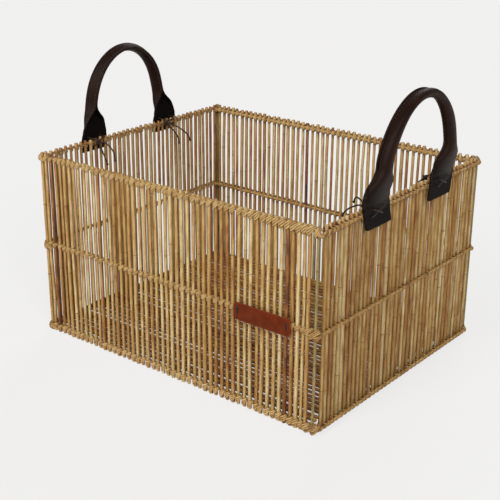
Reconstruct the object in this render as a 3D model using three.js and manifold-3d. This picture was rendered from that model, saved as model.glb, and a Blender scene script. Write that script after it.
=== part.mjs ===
// Wicker crate basket: open walls of upright rattan sticks on rods, with leather strap handles.
// Millimetres, +Z up. The origin is the middle of the basket, on the surface it stands on.
// +X runs along the long front wall, and the front wall is at -Y.

import * as THREE from "three";
import { mergeVertices } from "three/addons/utils/BufferGeometryUtils.js";
import Module from "manifold-3d";

const wasm = await Module();
wasm.setup();

// Basket: the rectangle of its corner posts, and the heights of the rods
const length = 450;
const width = 356;
const rimHeight = 250;
const bandHeight = 129;
const footHeight = 7;

// Sticks, rods and posts
const stickAcross = 5.4;
const stickPitch = 9;
const stubRise = 7;
const rodAcross = 4.4;
const postAcross = 5;
const seat = 0.3;
const weld = 0.4;
const thicknessShares = [1, 0.93, 0.98, 0.86, 1, 0.9, 0.96, 0.84, 0.99, 0.91, 0.95];
const stubShares = [1, 0.9, 1, 0.82, 0.95, 1, 0.88];

// Lashings: depth at the crown of a turn and between turns, height, and how far a turn leans
const crownDepth = 3;
const valleyDepth = 1.8;
const rimLashingHeight = 12;
const lashingHeight = 8;
const shortLashingHeight = 8;
const turnLean = 3;

// Leather handles
const strapThickness = 3;
const tabWidth = 52;
const tabCorner = 2;
const tabDrop = 20;
const creaseRise = 12;
const footSpacing = 137;
const footOffset = { right: 0, left: 9 };
const gripDepth = 16;
const legWidth = { right: 26, left: 16 };
const crestWidth = 10.5;
const legRise = 28;
const archRise = 82;
const rollRise = 38;
const rollStandOff = 6;
const foldOut = (110 * Math.PI) / 180;
const gripSides = 10;
const archSteps = 12;
const flatnessShare = 0.35;
const legShares = [0, 0.15, 0.34, 0.52];

// Laces
const laceWidth = 1.8;
const laceThickness = 1.4;
const laceClearance = 0.4;
const knotRadius = 3.2;
const knotRise = 4;
const knotShift = 8;
const tailAcross = 2;
const tailKnotRadius = 1.7;

// Label
const labelLength = 83;
const labelHeight = 22;
const labelThickness = 2;
const labelCorner = 1.5;
const labelCentreShare = 0.338;
const stitchSpacing = 71.6;
const threadAcross = 1.2;
const threadClearance = 0.3;

// Base
const bearerShares = [-0.25, 0.25];

// Levels and offsets that follow
const stickHalf = stickAcross / 2;
const stickCorner = stickHalf / Math.cos(Math.PI / 6);
const faceOffset = stickHalf + seat;
const rodOffset = faceOffset + rodAcross / 2;
const rodCorner = rodAcross / 2 / Math.cos(Math.PI / 6);
const carrierOffset = stickHalf - weld + rodCorner;
const cornerRoom = postAcross / 2 + seat + stickCorner;
const creaseHeight = rimHeight + creaseRise;
const tabOffset = faceOffset + rodAcross + seat + strapThickness / 2;
const baseHeight = footHeight + shortLashingHeight / 2 + seat + stickHalf;

// Colours
const palette = {
  straw: { color: 0xc9a35f, roughness: 0.62, metalness: 0 },
  lashing: { color: 0xb8935a, roughness: 0.7, metalness: 0 },
  base: { color: 0xa9763a, roughness: 0.68, metalness: 0 },
  olive: { color: 0x7a6a35, roughness: 0.6, metalness: 0.1 },
  leather: { color: 0x2a1d19, roughness: 0.45, metalness: 0 },
  lace: { color: 0x201715, roughness: 0.6, metalness: 0 },
  label: { color: 0x8f3a1e, roughness: 0.5, metalness: 0 },
  thread: { color: 0x15120f, roughness: 0.8, metalness: 0 },
};

const mesh = (name, geometry, finish) => {
  const made = new THREE.Mesh(geometry, new THREE.MeshStandardMaterial(palette[finish]));
  made.name = name;
  return made;
};

// Solids for joins
const toSolid = (geometry) => {
  const bare = geometry.clone();
  bare.deleteAttribute("normal");
  bare.deleteAttribute("uv");
  const merged = mergeVertices(bare);
  return new wasm.Manifold(new wasm.Mesh({
    numProp: 3,
    vertProperties: new Float32Array(merged.attributes.position.array),
    triVerts: new Uint32Array(merged.index.array),
  }));
};

const toGeometry = (solid) => {
  const { vertProperties, triVerts } = solid.getMesh();
  const geometry = new THREE.BufferGeometry();
  geometry.setAttribute("position", new THREE.BufferAttribute(vertProperties, 3));
  geometry.setIndex(new THREE.BufferAttribute(triVerts, 1));
  return geometry;
};

const joined = (geometries) => toGeometry(geometries.map(toSolid).reduce((sum, solid) => sum.add(solid)));

// A loft through rings of points, closed at its ends or into a loop
const loft = (rings, loop = false) => {
  const around = rings[0].length;
  const positions = rings.flat().flatMap((point) => [point.x, point.y, point.z]);
  const faces = [];
  const steps = loop ? rings.length : rings.length - 1;
  for (let i = 0; i < steps; i += 1) {
    const near = i * around;
    const far = ((i + 1) % rings.length) * around;
    for (let j = 0; j < around; j += 1) {
      const k = (j + 1) % around;
      faces.push(near + j, near + k, far + k, near + j, far + k, far + j);
    }
  }
  if (!loop) {
    const last = (rings.length - 1) * around;
    for (let j = 1; j < around - 1; j += 1) {
      faces.push(0, j + 1, j, last, last + j, last + j + 1);
    }
  }
  const geometry = new THREE.BufferGeometry();
  geometry.setAttribute("position", new THREE.Float32BufferAttribute(positions, 3));
  geometry.setIndex(faces);
  return geometry;
};

// A strap or thread that follows straight runs, mitred at each corner
const mitred = (points, acrossSide, acrossUp, side, loop = false) => {
  const count = points.length;
  const heading = (i) => points[(i + 1) % count].clone().sub(points[i]).normalize();
  const first = heading(0);
  const across = side.clone().addScaledVector(first, -side.dot(first)).normalize();
  const up = new THREE.Vector3().crossVectors(first, across);
  const corners = [[1, 1], [-1, 1], [-1, -1], [1, -1]];
  let ring = corners.map(([a, b]) => points[0].clone()
    .addScaledVector(across, (a * acrossSide) / 2)
    .addScaledVector(up, (b * acrossUp) / 2));
  const onPlane = (from, direction, centre, normal) => {
    const travel = centre.clone().sub(from).dot(normal) / direction.dot(normal);
    return from.clone().addScaledVector(direction, travel);
  };
  if (loop) {
    const cut = heading(count - 1).add(first).normalize();
    ring = ring.map((point) => onPlane(point, first, points[0], cut));
  }
  const rings = [ring];
  for (let i = 1; i < count; i += 1) {
    const direction = heading(i - 1);
    const open = !loop && i === count - 1;
    const cut = open ? direction : direction.clone().add(heading(i)).normalize();
    ring = ring.map((point) => onPlane(point, direction, points[i], cut));
    rings.push(ring);
  }
  return loft(rings, loop);
};

// Bars. A stick or rod has six sides, with a flat towards -Y and +Y, and a corner there once rolled.
const polygon = (sides, radius) => new THREE.Shape(Array.from({ length: sides }, (_, i) => {
  const angle = (i * 2 * Math.PI) / sides;
  return new THREE.Vector2(Math.cos(angle), Math.sin(angle)).multiplyScalar(radius);
}));

const extruded = (shape, depth) => new THREE.ExtrudeGeometry(shape, { depth, bevelEnabled: false, steps: 1 });

const standingBar = (across, height) => extruded(polygon(6, across / 2 / Math.cos(Math.PI / 6)), height);

const lyingBar = (across, span) => standingBar(across, span)
  .translate(0, 0, -span / 2)
  .rotateY(Math.PI / 2);

const rolled = (bar) => bar.rotateX(Math.PI / 2);

// Places of the sticks along a wall, spread evenly between its corner posts
const stickPlaces = (span) => {
  const run = span - 2 * cornerRoom;
  const steps = Math.round(run / stickPitch);
  return Array.from({ length: steps + 1 }, (_, i) => (i * run) / steps - run / 2);
};

// The middle of the gap between two sticks that lies nearest to a place on a wall
const nearestGap = (span, place) => {
  const places = stickPlaces(span);
  const gaps = places.slice(1).map((x, i) => (x + places[i]) / 2);
  return gaps.reduce((best, gap) => (Math.abs(gap - place) < Math.abs(best - place) ? gap : best));
};

// The walls. Each is built along its own x, with -y outwards, and turned into place.
// rodSide is 1 where the rods lie inside the sticks, and -1 where they lie outside.
const walls = [
  { name: "front", turn: 0, x: 0, y: -width / 2, span: length, rodSide: 1 },
  { name: "right", turn: Math.PI / 2, x: length / 2, y: 0, span: width, rodSide: -1 },
  { name: "back", turn: Math.PI, x: 0, y: width / 2, span: length, rodSide: 1 },
  { name: "left", turn: -Math.PI / 2, x: -length / 2, y: 0, span: width, rodSide: -1 },
];

// Rods inside a long wall stop at the short walls' sticks, and rods outside a short wall
// stop at the lashings that turn the corner.
const rodSpan = (wall) => wall.span - 2 * (wall.rodSide > 0 ? faceOffset : seat);

const rod = (wall, height) => lyingBar(rodAcross, rodSpan(wall))
  .translate(0, wall.rodSide * rodOffset, height);

const bandRod = (wall) => rolled(lyingBar(rodAcross, rodSpan(wall)))
  .translate(0, wall.rodSide * carrierOffset, bandHeight);

// Sticks of one wall, flush against the rods' side, on the band rod that carries them
const stickPanel = (wall) => {
  const sticks = stickPlaces(wall.span).map((x, i) => {
    const across = stickAcross * thicknessShares[i % thicknessShares.length];
    const top = rimHeight + stubRise * stubShares[i % stubShares.length];
    return standingBar(across, top).translate(x, (wall.rodSide * (stickAcross - across)) / 2, 0);
  });
  return joined([bandRod(wall), ...sticks]);
};

// Outline of a lashing seen from above: a straight back, and a crown over each stick.
// On a long wall both ends turn the corner round the post. A pressed one has no crowns.
const lashingOutline = (wall, lean, pressed) => {
  const side = -wall.rodSide;
  const places = stickPlaces(wall.span);
  const crowned = [];
  places.forEach((x, i) => {
    crowned.push([x + lean, side * (faceOffset + crownDepth)]);
    if (i < places.length - 1) {
      crowned.push([(x + places[i + 1]) / 2 + lean, side * (faceOffset + valleyDepth)]);
    }
  });
  const points = [];
  if (side < 0) {
    const quarter = [0, 1, 2, 3].map((i) => (i * Math.PI) / 6);
    const arc = (end, radius, angles) => angles.map((angle) => [
      end * (wall.span / 2 + radius * Math.sin(angle)), -radius * Math.cos(angle)]);
    const back = [...quarter].reverse();
    points.push(...arc(-1, faceOffset + valleyDepth, back), ...crowned);
    points.push(...arc(1, faceOffset + valleyDepth, quarter), ...arc(1, faceOffset, back));
    points.push(...arc(-1, faceOffset, quarter));
  } else {
    const end = wall.span / 2 - faceOffset - rodAcross - seat;
    const inside = crowned.filter(([x]) => !pressed && Math.abs(x) < end - turnLean / 2);
    points.push([-end, faceOffset], [end, faceOffset], [end, faceOffset + valleyDepth]);
    points.push(...inside.reverse(), [-end, faceOffset + valleyDepth]);
  }
  return points.map(([x, y]) => new THREE.Vector2(x, y));
};

const lashing = (wall, height, tall, pressed) => {
  const low = lashingOutline(wall, -turnLean / 2, pressed);
  const high = lashingOutline(wall, turnLean / 2, pressed);
  const count = low.length;
  const positions = [...low.map((point) => [point.x, point.y, height - tall / 2]),
    ...high.map((point) => [point.x, point.y, height + tall / 2])].flat();
  const faces = [];
  for (let i = 0; i < count; i += 1) {
    const k = (i + 1) % count;
    faces.push(i, k, count + k, i, count + k, count + i);
  }
  THREE.ShapeUtils.triangulateShape(low, []).forEach(([a, b, c]) => faces.push(a, c, b));
  THREE.ShapeUtils.triangulateShape(high, []).forEach(([a, b, c]) => {
    faces.push(count + a, count + b, count + c);
  });
  const geometry = new THREE.BufferGeometry();
  geometry.setAttribute("position", new THREE.Float32BufferAttribute(positions, 3));
  geometry.setIndex(faces);
  return geometry;
};

const basket = new THREE.Group();

const wallGroup = (wall) => {
  const group = new THREE.Group();
  group.position.set(wall.x, wall.y, 0);
  group.rotation.z = wall.turn;
  basket.add(group);
  return group;
};

for (const wall of walls) {
  const group = wallGroup(wall);
  const long = wall.rodSide > 0;
  group.add(mesh(`${wall.name}_wall_sticks`, stickPanel(wall), "straw"));
  group.add(mesh(`${wall.name}_rim_rod`, rod(wall, rimHeight), "lashing"));
  group.add(mesh(`${wall.name}_foot_rod`, rod(wall, footHeight), "lashing"));
  const levels = [
    ["rim", rimHeight, long ? rimLashingHeight : shortLashingHeight],
    ["band", bandHeight, long ? lashingHeight : shortLashingHeight],
    ["foot", footHeight, long ? lashingHeight : shortLashingHeight],
  ];
  for (const [level, height, tall] of levels) {
    const underBase = level === "foot" && !long;
    group.add(mesh(`${wall.name}_${level}_lashing`, lashing(wall, height, tall, underBase), "lashing"));
  }
}

// Corner posts
for (const [endName, end] of [["front", -1], ["back", 1]]) {
  for (const [sideName, side] of [["left", -1], ["right", 1]]) {
    const post = extruded(polygon(8, postAcross / 2), rimHeight + stubRise)
      .translate((side * length) / 2, (end * width) / 2, 0);
    basket.add(mesh(`corner_post_${endName}_${sideName}`, post, "olive"));
  }
}

// Base mat: sticks that run the long way, on a middle bearer that carries them from end to end
const bearerLength = width - 2 * (faceOffset + rodAcross + seat);
const bearerHeight = baseHeight - stickHalf - rodCorner;
const matEdge = bearerLength / 2;
const matSteps = Math.round((2 * matEdge) / stickPitch);
const matLength = length - 2 * faceOffset;

const matSticks = Array.from({ length: matSteps + 1 }, (_, i) => {
  const across = stickAcross * thicknessShares[(i * 2) % thicknessShares.length];
  return rolled(lyingBar(across, matLength))
    .translate(0, (2 * matEdge * i) / matSteps - matEdge, baseHeight - (stickAcross - across) / 2);
});
const bearer = () => lyingBar(rodAcross, bearerLength).rotateZ(Math.PI / 2);
basket.add(mesh("base_sticks", joined([bearer().translate(0, 0, bearerHeight + weld), ...matSticks]), "base"));
bearerShares.forEach((share, i) => {
  basket.add(mesh(`base_bearer_${["left", "right"][i]}`,
    bearer().translate(share * length, 0, bearerHeight - seat), "base"));
});

// A plate cut from leather, with rounded corners, standing in the x-z plane with holes through it
const plate = (x0, x1, z0, z1, corner, thickness, holes) => {
  const centres = [[x1 - corner, z0 + corner], [x1 - corner, z1 - corner],
    [x0 + corner, z1 - corner], [x0 + corner, z0 + corner]];
  const shape = new THREE.Shape(centres.flatMap(([x, z], i) => [-1, -0.5, 0].map((share) => {
    const angle = ((i + share) * Math.PI) / 2;
    return new THREE.Vector2(x + corner * Math.cos(angle), z + corner * Math.sin(angle));
  })));
  const sheet = extruded(shape, thickness).translate(0, 0, -thickness / 2).rotateX(Math.PI / 2);
  return toGeometry(holes.reduce((left, [x, z, wide, tall]) => left.subtract(
    toSolid(new THREE.BoxGeometry(wide, 2 * thickness, tall).translate(x, 0, z))), toSolid(sheet)));
};

// Handles. A tab lies over the outside of the rim rod, and the grip turns about the crease above it.
const laceReach = Math.hypot(laceWidth, laceThickness) / 2;
const laceHigh = rimHeight + shortLashingHeight / 2 + seat + laceReach;
const laceLow = rimHeight - shortLashingHeight / 2 - seat - laceReach;
const laceOutside = tabOffset + strapThickness / 2 + seat + laceReach;
const knotInside = faceOffset + crownDepth + seat + knotRadius;
const knotHeight = rimHeight + knotRise;
const laceHole = 2 * (laceReach + laceClearance);

// Gaps on either side of a tab's middle that its lace passes through
const laceGaps = (place) => {
  const pitch = stickPlaces(width)[1] - stickPlaces(width)[0];
  const middle = nearestGap(width, place);
  return [middle - pitch, middle + pitch];
};

// The top edge of a tab is skived to the slope of the grip when it is folded right out
const tab = (middle, gaps) => {
  const holes = gaps.flatMap((x) => [laceHigh, laceLow].map((z) => [x, z, laceHole, laceHole]));
  const sheet = plate(middle - tabWidth / 2, middle + tabWidth / 2, rimHeight - tabDrop,
    creaseHeight - strapThickness / 2 - seat, tabCorner, strapThickness, holes);
  const skived = new THREE.BoxGeometry(2 * tabWidth, 2 * creaseRise, creaseRise)
    .translate(middle, 0, creaseRise / 2 - strapThickness / 2 - seat)
    .rotateX(foldOut - Math.PI / 2)
    .translate(0, 0, creaseHeight);
  return toGeometry(toSolid(sheet).subtract(toSolid(skived))).translate(0, -tabOffset, 0);
};

// One lace: two strands that cross outside the tab, pass through it and meet in the knot inside,
// which lies to the front of the tab's middle
const lace = (knotPlace, gaps) => {
  const at = (x, y, z) => new THREE.Vector3(x, y, z);
  const strand = (from, to) => mitred([
    at(knotPlace, knotInside, knotHeight), at(from, knotInside, laceLow), at(from, -laceOutside, laceLow),
    at(to, -laceOutside, laceHigh), at(to, knotInside, laceHigh), at(knotPlace, knotInside, knotHeight),
  ], laceWidth, laceThickness, at(0, 1, 0));
  const knot = new THREE.IcosahedronGeometry(knotRadius, 0).translate(knotPlace, knotInside, knotHeight);
  return joined([knot, strand(gaps[0], gaps[1]), strand(gaps[1], gaps[0])]);
};

// Routes of the lace tails from the knot's centre: along the wall, inwards and up
const tailRoutes = {
  right_front: [
    [[1.8, 3.1, 0.5], [6, 10, 2], [11, 18, 2], [16, 24, -2], [20, 28, -8]],
    [[-0.8, 3.3, -1.4], [-2, 10, -3], [-2, 19, -8], [-1, 26, -14], [0, 30, -20]],
  ],
  right_back: [
    [[-1.2, 2.5, -2.4], [-5, 7, -8], [-7, 9, -17], [-8, 10, -26], [-8, 10, -33]],
    [[1.6, 2.2, -2.4], [4, 6, -9], [6, 8, -17], [6, 8.5, -26], [5, 8, -34]],
  ],
  left_front: [
    [[-1.4, 3.2, -0.8], [-4, 10, -2], [-6, 17, -7], [-7, 22, -14], [-6, 25, -24]],
    [[1.4, 2.8, -1.8], [4, 9, -7], [5, 14, -14], [5, 18, -21], [4, 20, -28]],
  ],
  left_back: [
    [[-2, 2.8, -1], [-8, 11, -4], [-14, 19, -10], [-18, 26, -17], [-20, 30, -25]],
    [[-0.6, 2.9, -2], [-3, 8, -7], [-6, 13, -14], [-8, 17, -22], [-8, 18, -29]],
  ],
};

const tail = (knotPlace, route) => {
  const points = route.map(([x, y, z]) => new THREE.Vector3(knotPlace + x, knotInside + y, knotHeight + z));
  const tube = new THREE.ExtrudeGeometry(polygon(8, tailAcross / 2), {
    steps: 6, bevelEnabled: false, extrudePath: new THREE.CatmullRomCurve3(points),
  });
  const end = points.at(-1);
  const knot = new THREE.OctahedronGeometry(tailKnotRadius, 0).translate(end.x, end.y, end.z);
  return joined([tube, knot]);
};

// Grip: one strap lofted from a flat foot, rolled round along the arch, to the other flat foot
const smooth = (share) => {
  const held = Math.min(Math.max(share, 0), 1);
  return held * held * (3 - 2 * held);
};
const mix = (from, to, share) => from + (to - from) * share;

const grip = (middle, spacing, legAcross) => {
  const ring = (x, z, turn, wide, deep, out, squareness) => Array.from({ length: gripSides }, (_, i) => {
    const angle = ((i + 0.5) * 2 * Math.PI) / gripSides;
    const swell = (value) => Math.sign(value) * Math.abs(value) ** squareness;
    const across = (wide / 2) * swell(Math.cos(angle));
    return new THREE.Vector3(
      middle + x + across * Math.cos(turn),
      -tabOffset - out + (deep / 2) * swell(Math.sin(angle)),
      z + across * Math.sin(turn),
    );
  });
  const legRing = (rise) => {
    const curl = smooth(rise / rollRise);
    return ring(-spacing / 2, creaseHeight + rise, 0, mix(tabWidth, legAcross, curl),
      mix(strapThickness, gripDepth, curl), rollStandOff * curl, mix(flatnessShare, 1, curl));
  };
  const toe = [1, 3].map((i) => {
    const angle = (i * Math.PI) / 12;
    return ring(-spacing / 2, creaseHeight - (strapThickness / 2) * Math.cos(angle), 0, tabWidth,
      strapThickness * Math.sin(angle), 0, flatnessShare);
  });
  const leg = legShares.map((share) => legRing(share * rollRise));
  const arch = Array.from({ length: archSteps + 1 }, (_, i) => {
    const angle = Math.PI - (i * Math.PI) / archSteps;
    const rise = legRise + archRise * Math.sin(angle);
    const curl = smooth(rise / rollRise);
    const crest = smooth((rise - rollRise) / (legRise + archRise - rollRise));
    const slope = Math.atan2(-archRise * Math.cos(angle), (spacing / 2) * Math.sin(angle));
    return ring((spacing / 2) * Math.cos(angle), creaseHeight + rise, slope - Math.PI / 2,
      mix(mix(tabWidth, legAcross, curl), crestWidth, crest),
      mix(strapThickness, gripDepth, curl), rollStandOff * curl, mix(flatnessShare, 1, curl));
  });
  const mirrored = (rings) => [...rings].reverse().map((points) => (
    points.map((point) => new THREE.Vector3(2 * middle - point.x, point.y, point.z))));
  const half = [...toe, ...leg];
  return loft([...half, ...arch, ...mirrored(half)]);
};

for (const wall of walls.filter(({ rodSide }) => rodSide < 0)) {
  const group = wallGroup(wall);
  const toWorld = wall.name === "right" ? 1 : -1;
  const feet = [["front", -1], ["back", 1]].map(([endName, end]) => (
    { endName, middle: nearestGap(width, footOffset[wall.name] + (toWorld * end * footSpacing) / 2) }));
  for (const { endName, middle } of feet) {
    const gaps = laceGaps(middle);
    const knotPlace = middle - toWorld * knotShift;
    const place = `${wall.name}_${endName}`;
    group.add(mesh(`handle_tab_${place}`, tab(middle, gaps), "leather"));
    group.add(mesh(`lace_${place}`, lace(knotPlace, gaps), "lace"));
    tailRoutes[place].forEach((route, i) => {
      group.add(mesh(`lace_tail_${place}_${["a", "b"][i]}`, tail(knotPlace, route), "lace"));
    });
  }
  const [one, other] = feet.map(({ middle }) => middle);
  group.add(mesh(`handle_grip_${wall.name}`,
    grip((one + other) / 2, Math.abs(one - other), legWidth[wall.name]), "leather"));
}

// Label on the front band, held by a stitch of thread at each end that goes round the band rod
const labelOffset = faceOffset + crownDepth + seat + labelThickness / 2;
const stitchHigh = bandHeight + lashingHeight / 2 + seat + threadAcross / 2;
const stitchLow = bandHeight - lashingHeight / 2 - seat - threadAcross / 2;
const labelCentre = labelCentreShare * length;
const stitchPlaces = [-1, 1].map((end) => nearestGap(length, labelCentre + (end * stitchSpacing) / 2));
const labelMiddle = (stitchPlaces[0] + stitchPlaces[1]) / 2;
const threadHole = threadAcross + 2 * threadClearance;

const front = wallGroup(walls[0]);
const threadHoles = stitchPlaces.flatMap((x) => [
  [x, stitchHigh, threadHole, threadHole], [x, stitchLow, threadHole, threadHole]]);
front.add(mesh("label", plate(labelMiddle - labelLength / 2, labelMiddle + labelLength / 2,
  bandHeight - labelHeight / 2, bandHeight + labelHeight / 2, labelCorner, labelThickness, threadHoles)
  .translate(0, -labelOffset, 0), "label"));

stitchPlaces.forEach((x, i) => {
  const outside = -labelOffset - labelThickness / 2 - seat - threadAcross / 2;
  const inside = carrierOffset + rodCorner + seat + threadAcross / 2;
  const loop = [[outside, stitchLow], [inside, stitchLow], [inside, stitchHigh], [outside, stitchHigh]]
    .map(([y, z]) => new THREE.Vector3(x, y, z));
  front.add(mesh(`label_stitch_${["left", "right"][i]}`,
    mitred(loop, threadAcross, threadAcross, new THREE.Vector3(1, 0, 0), true), "thread"));
});

export default basket;
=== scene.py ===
import math
from collections import namedtuple

import bmesh
import bpy
import numpy as np
from bpy.props import FloatProperty, FloatVectorProperty, PointerProperty
from bpy.types import Operator, Panel, PropertyGroup
from mathutils import Matrix, Vector


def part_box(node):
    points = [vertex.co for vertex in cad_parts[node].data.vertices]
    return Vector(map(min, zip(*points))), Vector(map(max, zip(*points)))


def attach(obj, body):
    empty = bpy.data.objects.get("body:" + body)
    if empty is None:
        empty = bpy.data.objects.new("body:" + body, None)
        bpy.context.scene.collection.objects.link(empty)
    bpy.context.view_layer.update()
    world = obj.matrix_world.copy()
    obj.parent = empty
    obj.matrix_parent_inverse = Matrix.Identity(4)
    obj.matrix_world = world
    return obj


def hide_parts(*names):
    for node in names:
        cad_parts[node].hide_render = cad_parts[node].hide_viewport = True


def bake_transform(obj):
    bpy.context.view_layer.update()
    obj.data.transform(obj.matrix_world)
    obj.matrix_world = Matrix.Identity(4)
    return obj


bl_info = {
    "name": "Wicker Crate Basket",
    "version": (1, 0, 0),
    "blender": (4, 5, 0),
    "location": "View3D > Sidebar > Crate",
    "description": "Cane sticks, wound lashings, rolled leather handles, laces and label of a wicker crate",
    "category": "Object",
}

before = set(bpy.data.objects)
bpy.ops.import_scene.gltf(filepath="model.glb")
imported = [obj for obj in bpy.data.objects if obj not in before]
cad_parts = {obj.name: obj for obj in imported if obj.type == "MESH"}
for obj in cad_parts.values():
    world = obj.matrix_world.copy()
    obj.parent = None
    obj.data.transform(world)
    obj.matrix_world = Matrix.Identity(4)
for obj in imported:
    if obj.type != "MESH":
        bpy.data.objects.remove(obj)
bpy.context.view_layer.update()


# What the frame says

def middle(node):
    """The centre of a node's box."""
    low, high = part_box(node)
    return (low + high) / 2


# rod_side is 1 where the rods lie inside the sticks, near is the end of the wall at the near corner
Wall = namedtuple("Wall", "name turn centre span rod_side near seed warmth")

CORNER = middle("corner_post_back_right")
LEVELS = {
    "rim": middle("front_rim_rod").z,
    "band": middle("front_band_lashing").z,
    "foot": middle("front_foot_rod").z,
}
RIM = LEVELS["rim"]
WALLS = [
    Wall("front", 0, (0, -CORNER.y), 2 * CORNER.x, 1, 1, 11, 0.0),
    Wall("right", math.pi / 2, (CORNER.x, 0), 2 * CORNER.y, -1, -1, 12, 0.02),
    Wall("back", math.pi, (0, CORNER.y), 2 * CORNER.x, 1, 0, 13, 0.06),
    Wall("left", -math.pi / 2, (-CORNER.x, 0), 2 * CORNER.y, -1, 0, 14, 0.12),
]
ROD_OFFSET = abs(middle("front_rim_rod").y + CORNER.y)
ROD_HALF = (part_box("front_rim_rod")[1].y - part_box("front_rim_rod")[0].y) / 2
MM = 0.001


def linear(code):
    """The linear colour of a six-digit display colour."""
    parts = [int(code[i:i + 2], 16) / 255 for i in (0, 2, 4)]
    return tuple(
        part / 12.92 if part <= 0.04045 else ((part + 0.055) / 1.055) ** 2.4 for part in parts)


# Sizes and colours that can be changed

def length(name, description, default):
    """A size in metres."""
    return FloatProperty(name=name, description=description, default=default, unit="LENGTH", precision=5)


def ratio(name, description, default):
    """A share or a strength."""
    return FloatProperty(name=name, description=description, default=default, min=0, max=10)


def degrees(name, description, default):
    """An angle."""
    return FloatProperty(
        name=name, description=description, default=math.radians(default), subtype="ANGLE")


def colour(name, description, code):
    """A colour, given as a six-digit display colour."""
    return FloatVectorProperty(
        name=name, description=description, subtype="COLOR", size=3, min=0, max=1, default=linear(code))


class StickSizes(PropertyGroup):
    across: length("Across", "Thickest stick", 0.0054)
    pitch: length("Pitch", "Distance from stick to stick", 0.009)
    seat: length("Seat", "Clearance between a corner post and the stick beside it", 0.0003)
    post_across: length("Post across", "Thickness of a corner post", 0.005)
    near_post: ratio("Near post", "Thickness of the near post as a share of the others'", 0.74)
    near_shift: length("Near shift", "How far the near post lies inside its corner", 0.002)
    stub_rise: length("Stub rise", "Height of the stubs over the rim rod's middle", 0.007)
    tip: length("Tip", "Length of the worn edge at a cut end", 0.0005)
    node_half: length("Node half", "Half the length of a node's swelling", 0.0016)
    swell: ratio("Swell", "Swelling at a node, as a share of the thickness", 0.1)
    wander: length("Wander", "How far a stick strays along the wall", 0.0005)
    thinnest: ratio("Thinnest", "Thinnest stick, as a share of the thickest", 0.74)
    short_rod: ratio("Short rod", "Thickness of the short walls' rods as a share of the long walls'", 0.88)
    crowd: length("Crowd", "How far the sticks next to the near corner stand off it", 0.0068)
    crowd_run: length("Crowd run", "How far along the wall the sticks are crowded", 0.022)


class StrandSizes(PropertyGroup):
    rim_across: length("Rim across", "Width of one strand of the long rims' lashing", 0.0021)
    band_across: length("Band across", "Width of one strand of the long bands' lashing", 0.0018)
    foot_across: length("Foot across", "Width of one strand of the long feet's lashing", 0.0021)
    short_across: length("Short across", "Width of one strand of the short walls' lashing", 0.0015)
    rim_rise: length("Rim rise", "How far a turn of the long rims climbs on each side of the rod", 0.003)
    band_rise: length("Band rise", "How far a turn of the long bands climbs", 0.002)
    foot_rise: length("Foot rise", "How far a turn of the long feet climbs", 0.0024)
    short_rise: length("Short rise", "How far a turn of the short walls climbs", 0.001)
    corner_across: length("Corner across", "Width of one strand of the corners' crossed strips", 0.002)
    far_corner: ratio("Far corner", "Size of the strips at a far corner as a share of the near one's", 0.78)
    flatness: ratio("Flatness", "Depth of a strand as a share of its width", 0.72)
    spread: ratio("Spread", "Distance between strands as a share of their width", 0.98)
    lift: length("Lift", "How far the middle strand stands over the outer ones", 0.0004)
    slant: length("Slant", "How far a turn leans on its way round the rod", 0.0014)


class LeatherSizes(PropertyGroup):
    thickness: length("Thickness", "Thickness of the strap", 0.003)
    width: length("Width", "Width of the flat strap", 0.052)
    right_leg: length("Right leg", "Width of the right handle's rolled leg", 0.026)
    left_leg: length("Left leg", "Width of the left handle's rolled leg", 0.02)
    crest: length("Crest", "Height of the roll at the top of the arch", 0.0145)
    depth: length("Depth", "Depth of the roll", 0.016)
    spring: length("Spring", "Height of the crease under the foot of the arch", 0.028)
    curl_drop: length("Curl drop", "How far under the crease the strap starts to curl", 0.011)
    roll_rise: length("Roll rise", "Height over the crease where the strap has closed", 0.037)
    seam: ratio("Seam", "Share of the strap's half width that is sewn flat behind the roll", 0.2)
    flange: length("Flange", "How far the sewn edges stand out behind the roll", 0.0048)
    right_turn: ratio("Right turn", "How much the right handle's sewn edges turn outwards", 0.9)
    pear: ratio("Pear", "How much the roll narrows towards its sewn edges", 0.6)
    right_foot: length("Right foot", "How far the right tabs' ends lie over the model's", 0.002)
    left_foot: length("Left foot", "How far the left tabs' ends lie over the model's", 0.007)
    crest_rise: length("Crest rise", "How far the right handle's arch stands over the model's", 0.0045)
    corner: length("Corner", "Rounding of the tabs' lower corners", 0.0025)
    stitch: length("Stitch", "Length of one stitch", 0.0034)
    stitch_step: length("Stitch step", "Distance from stitch to stitch", 0.0052)
    stitch_inset: length("Stitch inset", "Distance of the stitches from the edge", 0.0032)
    thread: length("Thread", "Thickness of the sewing thread", 0.0009)


class LaceSizes(PropertyGroup):
    width: length("Width", "Width of the flat lace", 0.0023)
    thickness: length("Thickness", "Thickness of the flat lace", 0.001)
    tail_across: length("Tail across", "Thickness of a hanging tail", 0.002)
    knot_inside: length("Knot inside", "How far a knot stands off the wall's middle plane", 0.0095)
    knot_rise: length("Knot rise", "Height of a knot over the rim rod's middle", 0.004)
    knot_shift: length("Knot shift", "How far a knot lies towards the near side of its tab", 0.008)
    cross_lift: length("Cross lift", "Height of the laces' cross over the rim rod's middle", 0.0025)
    cross_shift: length("Cross shift", "Shift of the laces' cross along the wall, to the front", 0.002)
    cross_reach: length("Cross reach", "Half the width of the laces' cross", 0.0105)
    cross_rise: length("Cross rise", "Half the height of the laces' cross", 0.0048)
    knot: length("Knot", "Radius of the knot on the inside", 0.0045)
    tail_knot: length("Tail knot", "Radius of the knot at a tail's end", 0.002)


class LabelSizes(PropertyGroup):
    corner: length("Corner", "Rounding of the corners", 0.005)
    edge: length("Edge", "Rounding of the cut edge", 0.0005)
    thread: length("Thread", "Thickness of the label's thread", 0.0022)
    stitch_rise: length("Stitch rise", "Height of the thread's bars over the rod's own loop", 0.0024)


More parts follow.
